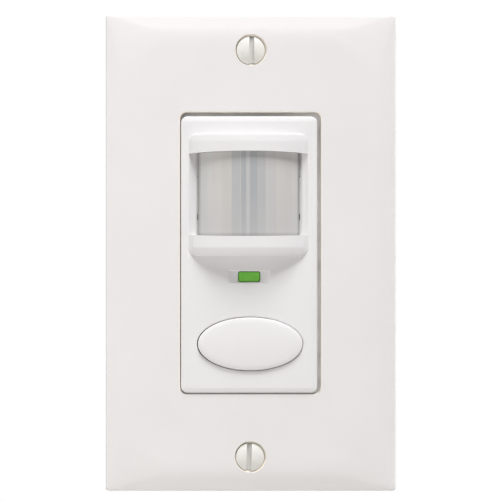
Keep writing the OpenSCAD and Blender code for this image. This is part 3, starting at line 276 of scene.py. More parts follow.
class Finish:
    """A material under construction: its nodes, its links and its shader."""

    # Sockets of a Mix node for its two colours and for their mixture
    MIX_A, MIX_B, MIXED = 6, 7, 2

    def __init__(self, name, roughness, metallic=0.0):
        self.material = bpy.data.materials.new(name)
        self.material.use_nodes = True
        self.tree = self.material.node_tree
        self.shader = self.tree.nodes["Principled BSDF"]
        self.shader.inputs["Roughness"].default_value = roughness
        self.shader.inputs["Metallic"].default_value = metallic
        self.place = self.node("ShaderNodeTexCoord").outputs["Object"]

    def node(self, kind, **inputs):
        """A node with some of its inputs set."""
        made = self.tree.nodes.new(kind)
        for key, value in inputs.items():
            made.inputs[key.replace("_", " ")].default_value = value
        return made

    def link(self, a, b):
        self.tree.links.new(a, b)

    def maths(self, kind, operation, *values):
        """A Math or Vector Math node that works on links and plain values. Gives its outputs."""
        made = self.node(kind)
        made.operation = operation
        for socket, value in zip(made.inputs, values):
            if isinstance(value, bpy.types.NodeSocket):
                self.link(value, socket)
            else:
                socket.default_value = value
        return made.outputs

    def along(self, axis):
        """The place along X, Y or Z."""
        parts = self.node("ShaderNodeSeparateXYZ")
        self.link(self.place, parts.inputs["Vector"])
        return parts.outputs[axis]

    def level(self, value, low, high, start=0.0, end=1.0):
        """Goes from start to end while a value goes from low to high."""
        made = self.node("ShaderNodeMapRange", From_Min=low, From_Max=high, To_Min=start, To_Max=end)
        self.link(value, made.inputs["Value"])
        return made.outputs["Result"]

    def noise(self, scale, detail=3.0, stretch=None):
        """A noise of that many cells per metre, drawn out where stretch is below 1."""
        noise = self.node("ShaderNodeTexNoise", Scale=scale, Detail=detail)
        if stretch is None:
            self.link(self.place, noise.inputs["Vector"])
        else:
            drawn = self.node("ShaderNodeMapping", Scale=stretch)
            self.link(self.place, drawn.inputs["Vector"])
            self.link(drawn.outputs["Vector"], noise.inputs["Vector"])
        return noise.outputs["Fac"]

    def ramp(self, value, stops, hold=False):
        """Colours along a value."""
        ramp = self.node("ShaderNodeValToRGB")
        ramp.color_ramp.interpolation = "CONSTANT" if hold else "LINEAR"
        steps = ramp.color_ramp.elements
        for i, (at, colour) in enumerate(stops):
            step = steps[i] if i < 2 else steps.new(at)
            step.position = at
            step.color = (*colour, 1)
        self.link(value, ramp.inputs["Fac"])
        return ramp.outputs["Color"]

    def times(self, a, b):
        """One colour multiplied by another."""
        mix = self.node("ShaderNodeMix")
        mix.data_type, mix.blend_type = "RGBA", "MULTIPLY"
        mix.inputs["Factor"].default_value = 1.0
        self.link(a, mix.inputs[self.MIX_A])
        self.link(b, mix.inputs[self.MIX_B])
        return mix.outputs[self.MIXED]

    def faded(self, colour, towards, share):
        """A colour that fades towards a plain one."""
        mix = self.node("ShaderNodeMix")
        mix.data_type = "RGBA"
        mix.inputs[self.MIX_B].default_value = (*towards, 1)
        self.link(share, mix.inputs["Factor"])
        self.link(colour, mix.inputs[self.MIX_A])
        return mix.outputs[self.MIXED]

    def colour(self, value):
        """Gives the shader its base colour."""
        self.link(value, self.shader.inputs["Base Color"])

    def tint(self, colour, value, spread=0.04):
        """A base colour that wanders a little."""
        dark = [c * (1 - spread) for c in colour]
        pale = [min(1, c * (1 + spread)) for c in colour]
        self.colour(self.ramp(value, [(0.3, dark), (0.7, pale)]))

    def gloss(self, value, low, high):
        """A roughness that wanders between two values."""
        self.link(self.level(value, 0, 1, low, high), self.shader.inputs["Roughness"])

    def bump(self, value, microns, strength=1.0):
        """A relief of that depth."""
        relief = self.node("ShaderNodeBump", Strength=strength, Distance=microns * MICRON)
        self.link(value, relief.inputs["Height"])
        self.link(relief.outputs["Normal"], self.shader.inputs["Normal"])


def moulded(name, colour, roughness=0.42, grain=9000, microns=4, spread=0.012):
    """Moulded plastic with a faint grain and slightly uneven gloss."""
    finish = Finish(name, roughness)
    finish.tint(colour, finish.noise(60, 4), spread)
    finish.gloss(finish.noise(400), roughness - 0.06, roughness + 0.06)
    finish.bump(finish.noise(grain, 2), microns)
    return finish.material


def plated(name, colour, roughness=0.34, stretch=(1, 1, 0.06), metallic=1.0):
    """Plated metal with fine drawing lines and cloudy patches."""
    finish = Finish(name, roughness, metallic)
    finish.tint(colour, finish.noise(220, 5), 0.12)
    lines = finish.noise(4200, 3, stretch)
    finish.gloss(lines, roughness - 0.1, roughness + 0.12)
    finish.bump(lines, 5)
    return finish.material


def painted(name, colour, roughness=0.4):
    """Paint over metal, with a faint orange peel."""
    finish = Finish(name, roughness)
    finish.tint(colour, finish.noise(350, 4), 0.03)
    finish.bump(finish.noise(2600, 2), 10)
    return finish.material


def screw_paint_and_slot_shade():
    """A white-painted screw head, darkened towards grey by painted shade down in the slot."""
    finish = Finish("screw_paint_and_slot_shade", 0.4)
    floor, top = (PLATE_FRONT - SLOT_D) * MM, (PLATE_FRONT - SLOT_SHADE_TOP) * MM
    # Painted shade: the white darkens towards grey from just below the plate's front down to the slot's floor
    height = finish.level(finish.along("Y"), -floor, -top)
    paint_and_slot_shade = finish.ramp(height, [(0.0, (0.55, 0.55, 0.535)), (1.0, (0.82, 0.81, 0.77))])
    worn = finish.ramp(finish.noise(900, 4), [(0.35, grey(0.95)), (0.65, grey(1))])
    finish.colour(finish.times(paint_and_slot_shade, worn))
    finish.bump(finish.noise(2600, 2), 10)
    return finish.material


def threaded(name, colour, places):
    """Plated thread on a pair of screws, with painted shade darkening it down in its roots."""
    finish = Finish(name, 0.3, metallic=1.0)
    flat = finish.maths("ShaderNodeVectorMath", "MULTIPLY", finish.place, (1, 0, 1))["Vector"]
    off_axis = [
        finish.maths("ShaderNodeVectorMath", "DISTANCE", flat, (x * MM, 0, y * MM))["Value"]
        for (x, y), _, _ in places
    ]
    radius = finish.maths("ShaderNodeMath", "MINIMUM", *off_axis)["Value"]
    # Painted shade darkens the thread towards its roots
    root_shade = [c * 0.2 for c in colour]
    shades = [(0.36, colour), (0.44, root_shade), (0.58, root_shade), (0.92, colour)]
    finish.colour(finish.ramp(finish.level(radius, (SHANK_R - 2 * THREAD_D) * MM, SHANK_R * MM), shades))
    finish.gloss(finish.noise(900), 0.22, 0.4)
    return finish.material


def coated_board(name, colour, copper):
    """A circuit board: tracks show through its coat."""
    finish = Finish(name, 0.3)
    tracks = finish.node("ShaderNodeTexBrick", Scale=160.0, Mortar_Size=0.03)
    turned = finish.node("ShaderNodeMapping", Rotation=(math.radians(90), 0, 0))
    finish.link(finish.place, turned.inputs["Vector"])
    finish.link(turned.outputs["Vector"], tracks.inputs["Vector"])
    for socket, shade in (("Color1", colour), ("Color2", [c * 0.9 for c in colour]), ("Mortar", copper)):
        tracks.inputs[socket].default_value = (*shade, 1)
    finish.colour(tracks.outputs["Color"])
    finish.bump(tracks.outputs["Fac"], 20)
    return finish.material


def wound_copper(name, colour):
    """Turns of wire along the coil's axis, with painted shade darkening the creases between them."""
    finish = Finish(name, 0.3, metallic=1.0)
    turns = finish.node("ShaderNodeTexWave", Scale=900.0, Distortion=0.4)
    turns.bands_direction = "Y"
    finish.link(finish.place, turns.inputs["Vector"])
    # Painted shade in the creases between the turns
    dark = [c * 0.45 for c in colour]
    finish.colour(finish.ramp(turns.outputs["Fac"], [(0.1, dark), (0.7, colour)]))
    finish.bump(turns.outputs["Fac"], 80)
    return finish.material


def milky_lens():
    """Milky sheet with upright lens bands, which fade towards its foot; the bands carry painted shade at both
    sides, and painted shade darkens a line along the foot.
    """
    finish = Finish("milky_lens", 0.36)
    middle, half = (SENSOR_AT.x + HEAD_SHIFT.x) * MM, LENS_HALF_W * MM
    foot = (SENSOR_AT.y + HEAD_SHIFT.y + LEDGE_TOP - LEDGE_DIP) * MM
    stops = [(max(0, 0.5 + x / (2 * LENS_HALF_W)), LENS_TONES[tone]) for x, tone in LENS_BANDS]
    bands = finish.ramp(finish.level(finish.along("X"), middle - half, middle + half), stops, hold=True)
    height = finish.along("Z")
    fade = finish.level(height, foot, foot + LENS_FADE_H * MM, LENS_FADE, 0.0)
    # Painted shade along the lens's foot, where it meets the ledge
    foot_shade = finish.ramp(finish.level(height, foot, foot + LENS_FOOT_SHADE_H * MM), [(0.1, grey(0.68)), (1.0, grey(1))])
    cloudy = finish.ramp(finish.noise(500, 4, (1, 1, 0.15)), [(0.3, grey(0.97)), (0.7, grey(1))])
    finish.colour(finish.times(finish.times(finish.faded(bands, LENS_FADED, fade), foot_shade), cloudy))
    ribs = finish.node("ShaderNodeTexWave", Scale=260.0, Distortion=0.0)
    ribs.bands_direction = "X"
    finish.link(finish.place, ribs.inputs["Vector"])
    finish.bump(ribs.outputs["Fac"], 20, 0.5)
    return finish.material


def indicator_window():
    """Green light guide with slightly uneven colour."""
    finish = Finish("indicator_window", 0.3)
    finish.tint((0.165, 0.56, 0.05), finish.noise(700, 2), 0.06)
    finish.bump(finish.noise(3000, 2), 4)
    return finish.material


ZINC = (0.62, 0.62, 0.6)
WHITE_PLATE = moulded("plate_white", (0.815, 0.797, 0.792))
# Painted warm bounce light for the walls of the opening and the screw holes, and painted shade for their lowest
# and deepest parts
PAINTED_BOUNCE_WALL = moulded("plate_wall_painted_bounce", (0.93, 0.86, 0.76))
PAINTED_SHADE_WALL = moulded("plate_wall_painted_shade", (0.62, 0.59, 0.54))
WHITE_COVER = moulded("cover_white", (0.82, 0.81, 0.815))
WHITE_BUTTON = moulded("button_white", (0.83, 0.82, 0.82))
WHITE_SCREW = screw_paint_and_slot_shade()
SCREW_ZINC = plated("screw_zinc", ZINC, 0.3, (1, 0.1, 1))
PLATE_THREAD = threaded("plate_screw_thread", ZINC, SCREWS)
BOX_THREAD = threaded("box_screw_zinc", ZINC, BOX_SCREWS)
BLACK_HOUSING = moulded("housing_black", (0.03, 0.03, 0.034), 0.5, 2500, 20, 0.15)
LENS_FINISH = milky_lens()
GREEN_WINDOW = indicator_window()


# Wall plate


def border_drop(inset):
    """How far the plate's front lies below its flat, by the distance from its edge."""
    drop = max(0, BORDER[0][0] - inset) * math.tan(math.radians(BORDER[0][1]))
    for (near, steep), (far, level) in zip(BORDER, BORDER[1:]):
        run = far - max(inset, near)
        if run > 0:
            here = level + (steep - level) * run / (far - near)
            drop += run * (math.tan(math.radians(here)) + math.tan(math.radians(level))) / 2
    return drop


def inset_at(x, y):
    """Distance of a point inside the border from the plate's edge, measured around the round corners."""
    core = BORDER_IN + FRONT_CORNER
    return core - math.hypot(max(0, abs(x) - PLATE_W / 2 + core), max(0, abs(y) - PLATE_H / 2 + core))


def on_front(v):
    """Whether a point lies on the plate's flat front."""
    return abs(v.co.z - PLATE_FRONT) < NEAR


def soften_front(bm):
    """Cuts the flat front into a grid along its edges and lets it run on down the border's slope."""
    for i in range(1, FRONT_CUTS + 1):
        for x, y in ((1, 0), (-1, 0), (0, 1), (0, -1)):
            half = PLATE_W / 2 if x else PLATE_H / 2
            at = Vector((x, y, 0)) * (half - BORDER_IN - FRONT_STEP * i)
            cut_at(bm, at, (x, y, 0), [f for f in bm.faces if all(on_front(v) for v in f.verts)])
    for v in bm.verts:
        if on_front(v):
            v.co.z -= border_drop(inset_at(v.co.x, v.co.y))


def plate_edge(bm):
    """The plate's side, its rounded rim and its sloping border. Gives the foot's and the front's edges."""
    slope = BORDER[0][1]
    turns = [math.radians(SIDE_TILT + (slope - SIDE_TILT) * i / RIM_STEPS) for i in range(RIM_STEPS + 1)]
    profile = [(RIM_AT[0] - RIM_ROUND * math.sin(a), RIM_AT[1] + RIM_ROUND * math.cos(a)) for a in turns]
    for i in range(1, BORDER_RINGS):
        inset = RIM_IN + (BORDER_IN - RIM_IN) * i / BORDER_RINGS
        profile.append((inset, PLATE_FRONT - border_drop(inset)))
    profile.append((BORDER_IN, PLATE_FRONT))
    rings = [rounded_loop(bm, (PLATE_W, PLATE_H), FOOT_CORNER, 0, steps=14)]
    for inset, z in profile:
        corner = RIM_CORNER + (FRONT_CORNER - RIM_CORNER) * max(0, inset - RIM_IN) / (BORDER_IN - RIM_IN)
        rings.append(rounded_loop(bm, grown((PLATE_W, PLATE_H), -inset), corner, z, steps=14))
    return skin(bm, rings)


def plate_opening(bm):
    """The tall opening with its rounded edge. Gives its front and back edges."""
    size = (OPENING_W, OPENING_H)
    rings = [rounded_loop(bm, grown(size, OPENING_COLLAR), OPENING_CORNER + OPENING_COLLAR, PLATE_FRONT)]
    for down, out in quarter(3):
        ring = grown(size, OPENING_EDGE * (1 - down))
        rings.append(rounded_loop(bm, ring, OPENING_CORNER, PLATE_FRONT - OPENING_EDGE * (1 - out)))
    rings.append(rounded_loop(bm, size, OPENING_CORNER, PLATE_BACK))
    return skin(bm, rings)


def screw_hole(bm, hole_at, head_at):
    """A countersunk hole with a steep wall around its screw's head. Gives its front and back edges."""
    seat = PLATE_FRONT - (HOLE_R - HOLE_SMALL_R) / COUNTERSINK
    rings = [(HOLE_R + out, PLATE_FRONT - deep, hole_at) for out, deep in HOLE_WALL]
    rings += [(HEAD_R + SLIT, PLATE_FRONT - SEAT_D, head_at)]
    rings += [(HOLE_SMALL_R, seat, hole_at), (HOLE_SMALL_R, PLATE_BACK, hole_at)]
    return skin(bm, [oval_loop(bm, (2 * r, 2 * r), z, at, steps=64) for r, z, at in rings])


def finish_walls(bm):
    """Gives the walls of the opening and of the screw holes a tan of painted warm bounce light, and the
    opening's lowest wall and the holes' deep walls a darker painted shade.
    """
    for f in bm.faces:
        at = f.calc_center_median()
        inside = abs(at.x) < OPENING_W / 2 + OPENING_COLLAR and abs(at.y) < SCREW_PITCH / 2 + HOLE_R
        if inside and PLATE_BACK < at.z < PLATE_FRONT - NEAR:
            low_wall = abs(at.y + OPENING_H / 2) < LOW_WALL
            hole_wall = abs(at.y) > OPENING_H / 2 + OPENING_COLLAR and at.z < PLATE_FRONT - SEAT_D
            f.material_index = 2 if low_wall or hole_wall else 1


def wall_plate():
    """Plate with sides that lean in and a border that slopes up to its flat front, hollow behind."""
    bm = bmesh.new()
    foot, front = plate_edge(bm)
    room = grown((PLATE_W, PLATE_H), -EDGE_WALL)
    hollow = [rounded_loop(bm, room, HOLLOW_CORNER, z) for z in (0, PLATE_BACK)]
    skin(bm, [foot, *hollow])
    openings = [plate_opening(bm)]
    for hole_at, (head_at, _, _) in zip(HOLES, SCREWS):
        openings.append(screw_hole(bm, hole_at, head_at))
    fill(bm, front, *(front_edge for front_edge, _ in openings))
    fill(bm, hollow[-1], *(back_edge for _, back_edge in openings))
    finish_walls(bm)
    soften_front(bm)
    finishes = [WHITE_PLATE, PAINTED_BOUNCE_WALL, PAINTED_SHADE_WALL]
    finish_piece("plate", bm, "housing", ["wall_plate"], finishes)


# Screws


def thread(top, tail):
    """A thread's outline, crest by crest, from its top to its tail."""
    turns = round((top - tail) / THREAD_PITCH)
    step = (top - tail) / turns
    crests = [(SHANK_R, top - i * step) for i in range(turns)]
    roots = [(SHANK_R - THREAD_D, z - step / 2) for _, z in crests]
    return [point for pair in zip(crests, roots) for point in pair]


def shank(neck, tail):
    """A screw's outline from its neck to the middle of its tail."""
    return [(SHANK_R, neck), *thread(neck - THREAD_START, tail), (0, tail)]


def oval_head():
    """Outline of a plate screw from the middle of its head to its tail, and the height of its slot's floor."""
    rim = PLATE_FRONT - (HOLE_R - HEAD_R) / COUNTERSINK
    neck = rim - (HEAD_R - SHANK_R) / COUNTERSINK
    ball = (HEAD_R**2 + HEAD_CROWN**2) / (2 * HEAD_CROWN)
    radii = [HEAD_R * i / CROWN_STEPS for i in range(CROWN_STEPS + 1)]
    crown = [(r, rim + HEAD_CROWN - ball + math.sqrt(ball**2 - r**2)) for r in radii]
    return [*crown, (HEAD_R, rim - HEAD_RIM), *shank(neck, -SHANK_TAIL)], rim + HEAD_CROWN - SLOT_D


def pan_head():
    """The same for a box screw."""
    top = STRAP_FRONT + BOX_HEAD_H
    crown = [(BOX_HEAD_R - BOX_HEAD_EDGE * (1 - s), top - BOX_HEAD_EDGE * (1 - c)) for s, c in quarter(5)]
    outline = [(0, top), *crown, (BOX_HEAD_R, STRAP_FRONT), *shank(STRAP_FRONT, -BOX_SCREW_TAIL)]
    return outline, top - BOX_SLOT_D


def slotted_screw(bm, outline, floor, at, turn, slot_x):
    """A spun screw, cut open along its slot and closed again."""
    points = [bm.verts.new((r, 0, z)) for r, z in outline]
    edges = [bm.edges.new(pair) for pair in zip(points, points[1:])]
    bmesh.ops.spin(
        bm, geom=points + edges, axis=(0, 0, 1), cent=(0, 0, 0), steps=64, angle=math.tau, use_merge=True
    )
    bmesh.ops.remove_doubles(bm, verts=bm.verts, dist=MERGE)
    sides = (slot_x - SLOT_W / 2, slot_x + SLOT_W / 2)
    for normal, height in (((1, 0, 0), sides[0]), ((1, 0, 0), sides[1]), ((0, 0, 1), floor)):
        cut_at(bm, Vector(normal) * height, normal)
    middles = [(f, f.calc_center_median()) for f in bm.faces]
    slot = [f for f, middle in middles if sides[0] < middle.x < sides[1] and middle.z > floor]
    bmesh.ops.delete(bm, geom=slot, context="FACES")
    rims = [e for e in bm.edges if e.is_boundary]
    for x in sides:
        wall = [e for e in rims if all(abs(v.co.x - x) < NEAR for v in e.verts)]
        low = {v for e in wall for v in e.verts if abs(v.co.z - floor) < NEAR}
        ends = sorted(low, key=lambda v: v.co.y)
        foot = bm.edges.new((ends[0], ends[-1]))
        bmesh.ops.edgeloop_fill(bm, edges=[*wall, foot])
    bmesh.ops.edgeloop_fill(bm, edges=[e for e in bm.edges if e.is_boundary])
    bmesh.ops.rotate(bm, cent=(0, 0, 0), matrix=Matrix.Rotation(math.radians(turn), 3, "Z"), verts=bm.verts)
    bmesh.ops.translate(bm, vec=(*at, 0), verts=bm.verts)


def screw_pair(name, node, slot, outline, places, *finishes):
    """Two screws of one kind. A second finish is for what lies behind the plate."""
    both = bmesh.new()
    for place in places:
        one = bmesh.new()
        slotted_screw(one, *outline, *place)
        add_to(both, one)
    for f in both.faces:
        f.material_index = int(len(finishes) > 1 and f.calc_center_median().z < BARE_BELOW)
    finish_piece(name, both, "housing", [node], finishes)


# Cover of the sensor


def bulge_at(x):
    """How far the head's front stands out of the face at x."""
    return math.sqrt(HOOD_R**2 - x**2) - (HOOD_R - HOOD_BULGE)


def arch_at(x, rise):
    """How far the window's edge rises at x."""
    return rise * (1 - (x / HOOD_HALF_W) ** 2)


def swell(tall, bulge, deep):
    """Height of a point of the head's flat pattern, once its front bulges. Its edge is that deep."""
    wall, rounded = HOOD_BULGE - deep, min(deep, bulge)
    if tall > wall:
        return bulge - rounded + (tall - wall) * rounded / deep
    return tall * (bulge - rounded) / wall


def head_block(bm, size, at, edge):
    """A flat block with round corners and a moulded edge, narrower at its sides."""
    loops = [rounded_loop(bm, size, HOOD_CORNER, z, at, steps=8) for z in (FRAME_BACK, FACE_Z)]
    for inward, drop in EDGE_SHAPE:
        inset = edge[0] * inward
        ring = (size[0] - 2 * inset * SIDE_SHARE, size[1] - 2 * inset)
        corner, z = HOOD_CORNER - HEAD_CORNER_LOSS * inset, HOOD_FRONT - edge[1] * drop
        loops.append(rounded_loop(bm, ring, corner, z, at, steps=8))
    band, corner = HEAD_BAND
    flat = grown((size[0] - 2 * edge[0] * SIDE_SHARE, size[1] - 2 * edge[0]), -band)
    loops.append(rounded_loop(bm, flat, corner, HOOD_FRONT, at, steps=8))
    for end in skin(bm, loops):
        bmesh.ops.edgeloop_fill(bm, edges=end)
    bmesh.ops.recalc_face_normals(bm, faces=bm.faces)


def head_part(bm, outer_y, window_y, rise, edge):
    """Hood or ledge: a block that is cut straight at the window, then bulged and arched."""
    part = bmesh.new()
    side = 1 if outer_y > window_y else -1
    far_y = window_y - HEAD_SPARE * side
    head_block(part, (2 * HOOD_HALF_W, abs(outer_y - far_y)), (0, (outer_y + far_y) / 2), edge)
    window = cut_at(part, (0, window_y, 0), (0, -side, 0), clear_outer=True)
    bmesh.ops.edgeloop_fill(part, edges=window)
    cut_at(part, (0, window_y + LIP_BACK * side, 0), (0, 1, 0))
    for i in range(1, HEAD_CUTS):
        cut_at(part, (HOOD_HALF_W * (2 * i / HEAD_CUTS - 1), 0, 0), (1, 0, 0))
    lip = [
        e for e in part.edges
        if all(abs(v.co.y - window_y) < NEAR and v.co.z > FACE_Z for v in e.verts)
        and abs(e.verts[0].co.x - e.verts[1].co.x) > 0.01
        and e.calc_face_angle(0) > LIP_BEND
    ]
    for v in part.verts:
        if v.co.z > FACE_Z:
            v.co.z = FACE_Z + swell(v.co.z - FACE_Z, bulge_at(v.co.x), edge[1])
        if abs(v.co.y - window_y) < NEAR:
            v.co.y += arch_at(v.co.x, rise)
    bmesh.ops.bevel(
        part, geom=lip, offset=LIP_R, affect="EDGES", segments=3, profile=0.5, material=-1, clamp_overlap=True
    )
    add_to(bm, part)


def cheek(bm, side, low, high, notch):
    """A length of the scooped wall beside the lens, from the face down to the window's edge."""
    foot, lip = FACE_Z - CHEEK_DEPTH, WINDOW_HALF_W
    section = [
        (lip + notch, FRAME_BACK), (lip + notch, foot), (lip + 0.25, foot + 0.1), (lip + 0.7, foot + 0.42),
        (HOOD_HALF_W - 0.7, FACE_Z - 0.62), (HOOD_HALF_W - 0.25, FACE_Z - 0.16), (HOOD_HALF_W, FACE_Z - 0.02),
        (HOOD_HALF_W, FRAME_BACK),
    ]
    face = bm.faces.new([bm.verts.new((side * x, low, z)) for x, z in section])
    raised = bmesh.ops.extrude_face_region(bm, geom=[face])["geom"]
    points = [v for v in raised if isinstance(v, bmesh.types.BMVert)]
    bmesh.ops.translate(bm, vec=(0, high - low, 0), verts=points)


def cheeks(bm):
    """Both cheeks, with the notches where the lens clips in."""
    for side in (-1, 1):
        low = LEDGE_TOP - CHEEK_SPARE
        for notch_low, notch_high in NOTCHES:
            cheek(bm, side, low, notch_low, 0)
            cheek(bm, side, notch_low, notch_high, NOTCH_D)
            low = notch_high
        cheek(bm, side, low, HOOD_UNDER + CHEEK_SPARE, 0)


def face_edge(bm):
    """The face's side walls and its rounded edge. Gives the foot's and the front's edges."""
    size = (FACE_W, FACE_H)
    rings = [rounded_loop(bm, size, FACE_CORNER, STRAP_FRONT, FACE_AT)]
    for inward, drop in EDGE_SHAPE:
        inset = FACE_EDGE[0] * inward
        corner, z = FACE_CORNER - FACE_CORNER_LOSS * inset, FACE_Z - FACE_EDGE[1] * drop
        rings.append(rounded_loop(bm, grown(size, -inset), corner, z, FACE_AT))
    band, corner = FACE_BAND
    rings.append(rounded_loop(bm, grown(size, -FACE_EDGE[0] - band), corner, FACE_Z, FACE_AT))
    return skin(bm, rings)


def head_opening(bm):
    """The opening that the head covers. Gives its front and back edges."""
    size = (2 * (HOOD_HALF_W - HEAD_LAP[0]), HOOD_TOP - LEDGE_BOTTOM - 2 * HEAD_LAP[1])
    at = (HEAD_SHIFT.x, (HOOD_TOP + LEDGE_BOTTOM) / 2 + HEAD_SHIFT.y)
    return skin(bm, [rounded_loop(bm, size, HOOD_CORNER, z, at) for z in (FACE_Z, FACE_BACK)])


def button_hole(bm):
    """The oval hole of the button, with a slightly rounded edge. Gives its front and back edges."""
    rings = [(0.5, 0), (0.16, 0), (0.05, 0.05), (0, 0.16), (0, FACE_Z - FACE_BACK)]
    size = (BUTTON_W, BUTTON_H)
    return skin(bm, [oval_loop(bm, grown(size, out), FACE_Z - down, BUTTON_HOLE_AT) for out, down in rings])


def indicator_groove(bm):
    """The shallow groove of the indicator and the hole in its floor. Gives its front and back edges."""
    floor, floor_at = FACE_Z - GROOVE_D, (0, GROOVE_AT[1] - 0.12)
    hole = (LIGHT_W + 0.3, LIGHT_H + 0.16)
    rings = (
        ((GROOVE_W + 0.3, GROOVE_H + 0.3), 0.3, FACE_Z, GROOVE_AT, 3),
        ((GROOVE_W + 0.1, GROOVE_H + 0.1), 0.2, FACE_Z, GROOVE_AT, 3),
        ((GROOVE_W - 0.1, GROOVE_H - 0.08), 0.15, FACE_Z - 0.05, GROOVE_AT, 3),
        ((GROOVE_W - 2 * GROOVE_SLOPE, GROOVE_H - 0.44), 0.15, floor, floor_at, 3),
        ((LIGHT_W + 0.36, LIGHT_H + 0.2), 0.5, floor, LIGHT_AT, 4),
        (hole, 0.5, floor - 0.05, LIGHT_AT, 4),
        (hole, 0.5, FACE_BACK, LIGHT_AT, 4),
    )
    return skin(bm, [rounded_loop(bm, *ring) for ring in rings])


def face_panel(bm):
    """The face with its openings for head, button and indicator, on four side walls."""
    foot, front = face_edge(bm)
    room = grown((FACE_W, FACE_H), -COVER_WALL)
    inner = [rounded_loop(bm, room, COVER_CORNER, z) for z in (STRAP_FRONT, FACE_BACK)]
    skin(bm, [foot, *inner])
    openings = [head_opening(bm), button_hole(bm), indicator_groove(bm)]
    fill(bm, front, *(front_edge for front_edge, _ in openings))
    fill(bm, inner[-1], *(back_edge for _, back_edge in openings))


def front_cover():
    """The sensor's cover: its face, the hood over the lens, the ledge below it and the cheeks beside it."""
    bm = bmesh.new()
    face_panel(bm)
    head = bmesh.new()
    head_part(head, HOOD_TOP, HOOD_UNDER, HOOD_RISE, HOOD_EDGE)
    head_part(head, LEDGE_BOTTOM, LEDGE_TOP, -LEDGE_DIP, LEDGE_EDGE)
    cheeks(head)
    bmesh.ops.translate(head, vec=HEAD_SHIFT, verts=head.verts)
    add_to(bm, head)
    finish_piece("cover", bm, "housing", ["front_cover"], [WHITE_COVER], SENSOR_AT)


# Lens, button and indicator


def lens():
    """The curved sheet of the infrared lens, with a flange at each side that goes down into the window."""
    bm = bmesh.new()
    axis = (0, 0, HOOD_FRONT - LENS_RECESS - LENS_R)
    half_turn = math.asin(LENS_HALF_W / LENS_R)
    heights = (LEDGE_TOP + LENS_GAP, HOOD_UNDER - LENS_GAP)
    ends = [bm.verts.new((0, y, axis[2] + LENS_R)) for y in heights]
    edge = bm.edges.new(ends)
    bmesh.ops.rotate(bm, cent=axis, matrix=Matrix.Rotation(-half_turn, 3, "Y"), verts=ends)
    bmesh.ops.spin(bm, geom=[*ends, edge], axis=(0, 1, 0), cent=axis, steps=LENS_STEPS, angle=2 * half_turn)
    sides = [e for e in bm.edges if all(abs(v.co.x) > LENS_HALF_W - NEAR for v in e.verts)]
    for flange in bmesh.ops.extrude_edge_only(bm, edges=sides)["geom"]:
        if isinstance(flange, bmesh.types.BMVert):
            flange.co.z = FACE_Z - CHEEK_DEPTH - LENS_FLANGE
    bmesh.ops.recalc_face_normals(bm, faces=bm.faces)
    bmesh.ops.solidify(bm, geom=bm.faces[:], thickness=LENS_T)
    for v in bm.verts:
        v.co.y += arch_at(v.co.x, HOOD_RISE if v.co.y > sum(heights) / 2 else -LEDGE_DIP)
    finish_piece("lens_sheet", bm, "housing", ["lens"], [LENS_FINISH], SENSOR_AT + HEAD_SHIFT)


def push_button():
    """Oval cap with a rounded edge and a low crown."""
    bm = bmesh.new()
    size = grown((BUTTON_W, BUTTON_H), -BUTTON_GAP)
    rings = [(size, BUTTON_BACK)]
    for inward, drop in EDGE_SHAPE:
        rings.append((grown(size, -BUTTON_EDGE[0] * inward), BUTTON_RIM - BUTTON_EDGE[1] * drop))
    flat_w, flat_h = grown(size, -BUTTON_EDGE[0])
    for share in (0.8, 0.6, 0.4, 0.2):
        rings.append(((flat_w * share, flat_h * share), BUTTON_RIM + BUTTON_CROWN * (1 - share**2)))
    for end in skin(bm, [oval_loop(bm, ring, z, BUTTON_AT) for ring, z in rings]):
        fill(bm, end)
    finish_piece("button_cap", bm, "button", ["push_button"], [WHITE_BUTTON], SENSOR_AT)


def indicator():
    """The green window in the groove."""
    bm = bmesh.new()
    size, top = (LIGHT_W, LIGHT_H - 0.1), FACE_Z - GROOVE_D - LIGHT_SUNK
    rings = [(0, FACE_BACK - 0.7), (0, top - 0.12), (0.06, top - 0.03), (0.15, top), (0.45, top)]
    loops = [rounded_loop(bm, grown(size, -d), 0.45 - 0.5 * d, z, LIGHT_AT, 5) for d, z in rings]
    for end in skin(bm, loops):
        fill(bm, end)
    finish_piece("indicator", bm, "housing", ["light_pipe"], [GREEN_WINDOW], SENSOR_AT)


# Rear housing


def side_loop(bm, x, y, low, high, height, radius):
    """The edges of a rectangle with round corners that faces right."""
    edges = rounded_loop(bm, (high - low, height), radius, 0, steps=3)
    points = list({v for e in edges for v in e.verts})
    bmesh.ops.rotate(bm, cent=(0, 0, 0), matrix=Matrix.Rotation(math.radians(-90), 3, "Y"), verts=points)
    bmesh.ops.translate(bm, vec=(x, y, (low + high) / 2), verts=points)
    return edges


def right_wall(bm, x):
    """Takes out the wide face at x that faces right or left, and gives its edges."""
    wide = [f for f in bm.faces if all(abs(v.co.x - x) < NEAR for v in f.verts)]
    return open_loop(bm, max(wide, key=lambda f: f.calc_area()))


def terminal_pockets(bm):
    """The two pockets for the terminals: openings in the right wall, and boxes around them inside."""
    outer_x, inner_x = HOUSING_W / 2, HOUSING_W / 2 - HOUSING_WALL
    low, high = POCKET_Z
    rims, boxes = [], []
    for y in TERMINALS_Y:
        edge_z = (low - POCKET_EDGE, high + POCKET_EDGE)
        mouth = [side_loop(bm, outer_x, y, *edge_z, POCKET_H + 2 * POCKET_EDGE, 0.5)]
        for x in (outer_x - POCKET_EDGE, POCKET_FLOOR_X):
            mouth.append(side_loop(bm, x, y, low, high, POCKET_H, 0.4))
        wall_z, wall_h = (low - POCKET_WALL, high + POCKET_WALL), POCKET_H + 2 * POCKET_WALL
        box = [side_loop(bm, x, y, *wall_z, wall_h, 0.6) for x in (inner_x, POCKET_FLOOR_X - POCKET_WALL)]
        for a, b in (*zip(mouth, mouth[1:]), box):
            bmesh.ops.bridge_loops(bm, edges=a + b)
        fill(bm, mouth[-1])
        fill(bm, box[-1])
        rims.append(mouth[0])
        boxes.append(box[0])
    fill(bm, right_wall(bm, outer_x), *rims)
    fill(bm, right_wall(bm, inner_x), *boxes)


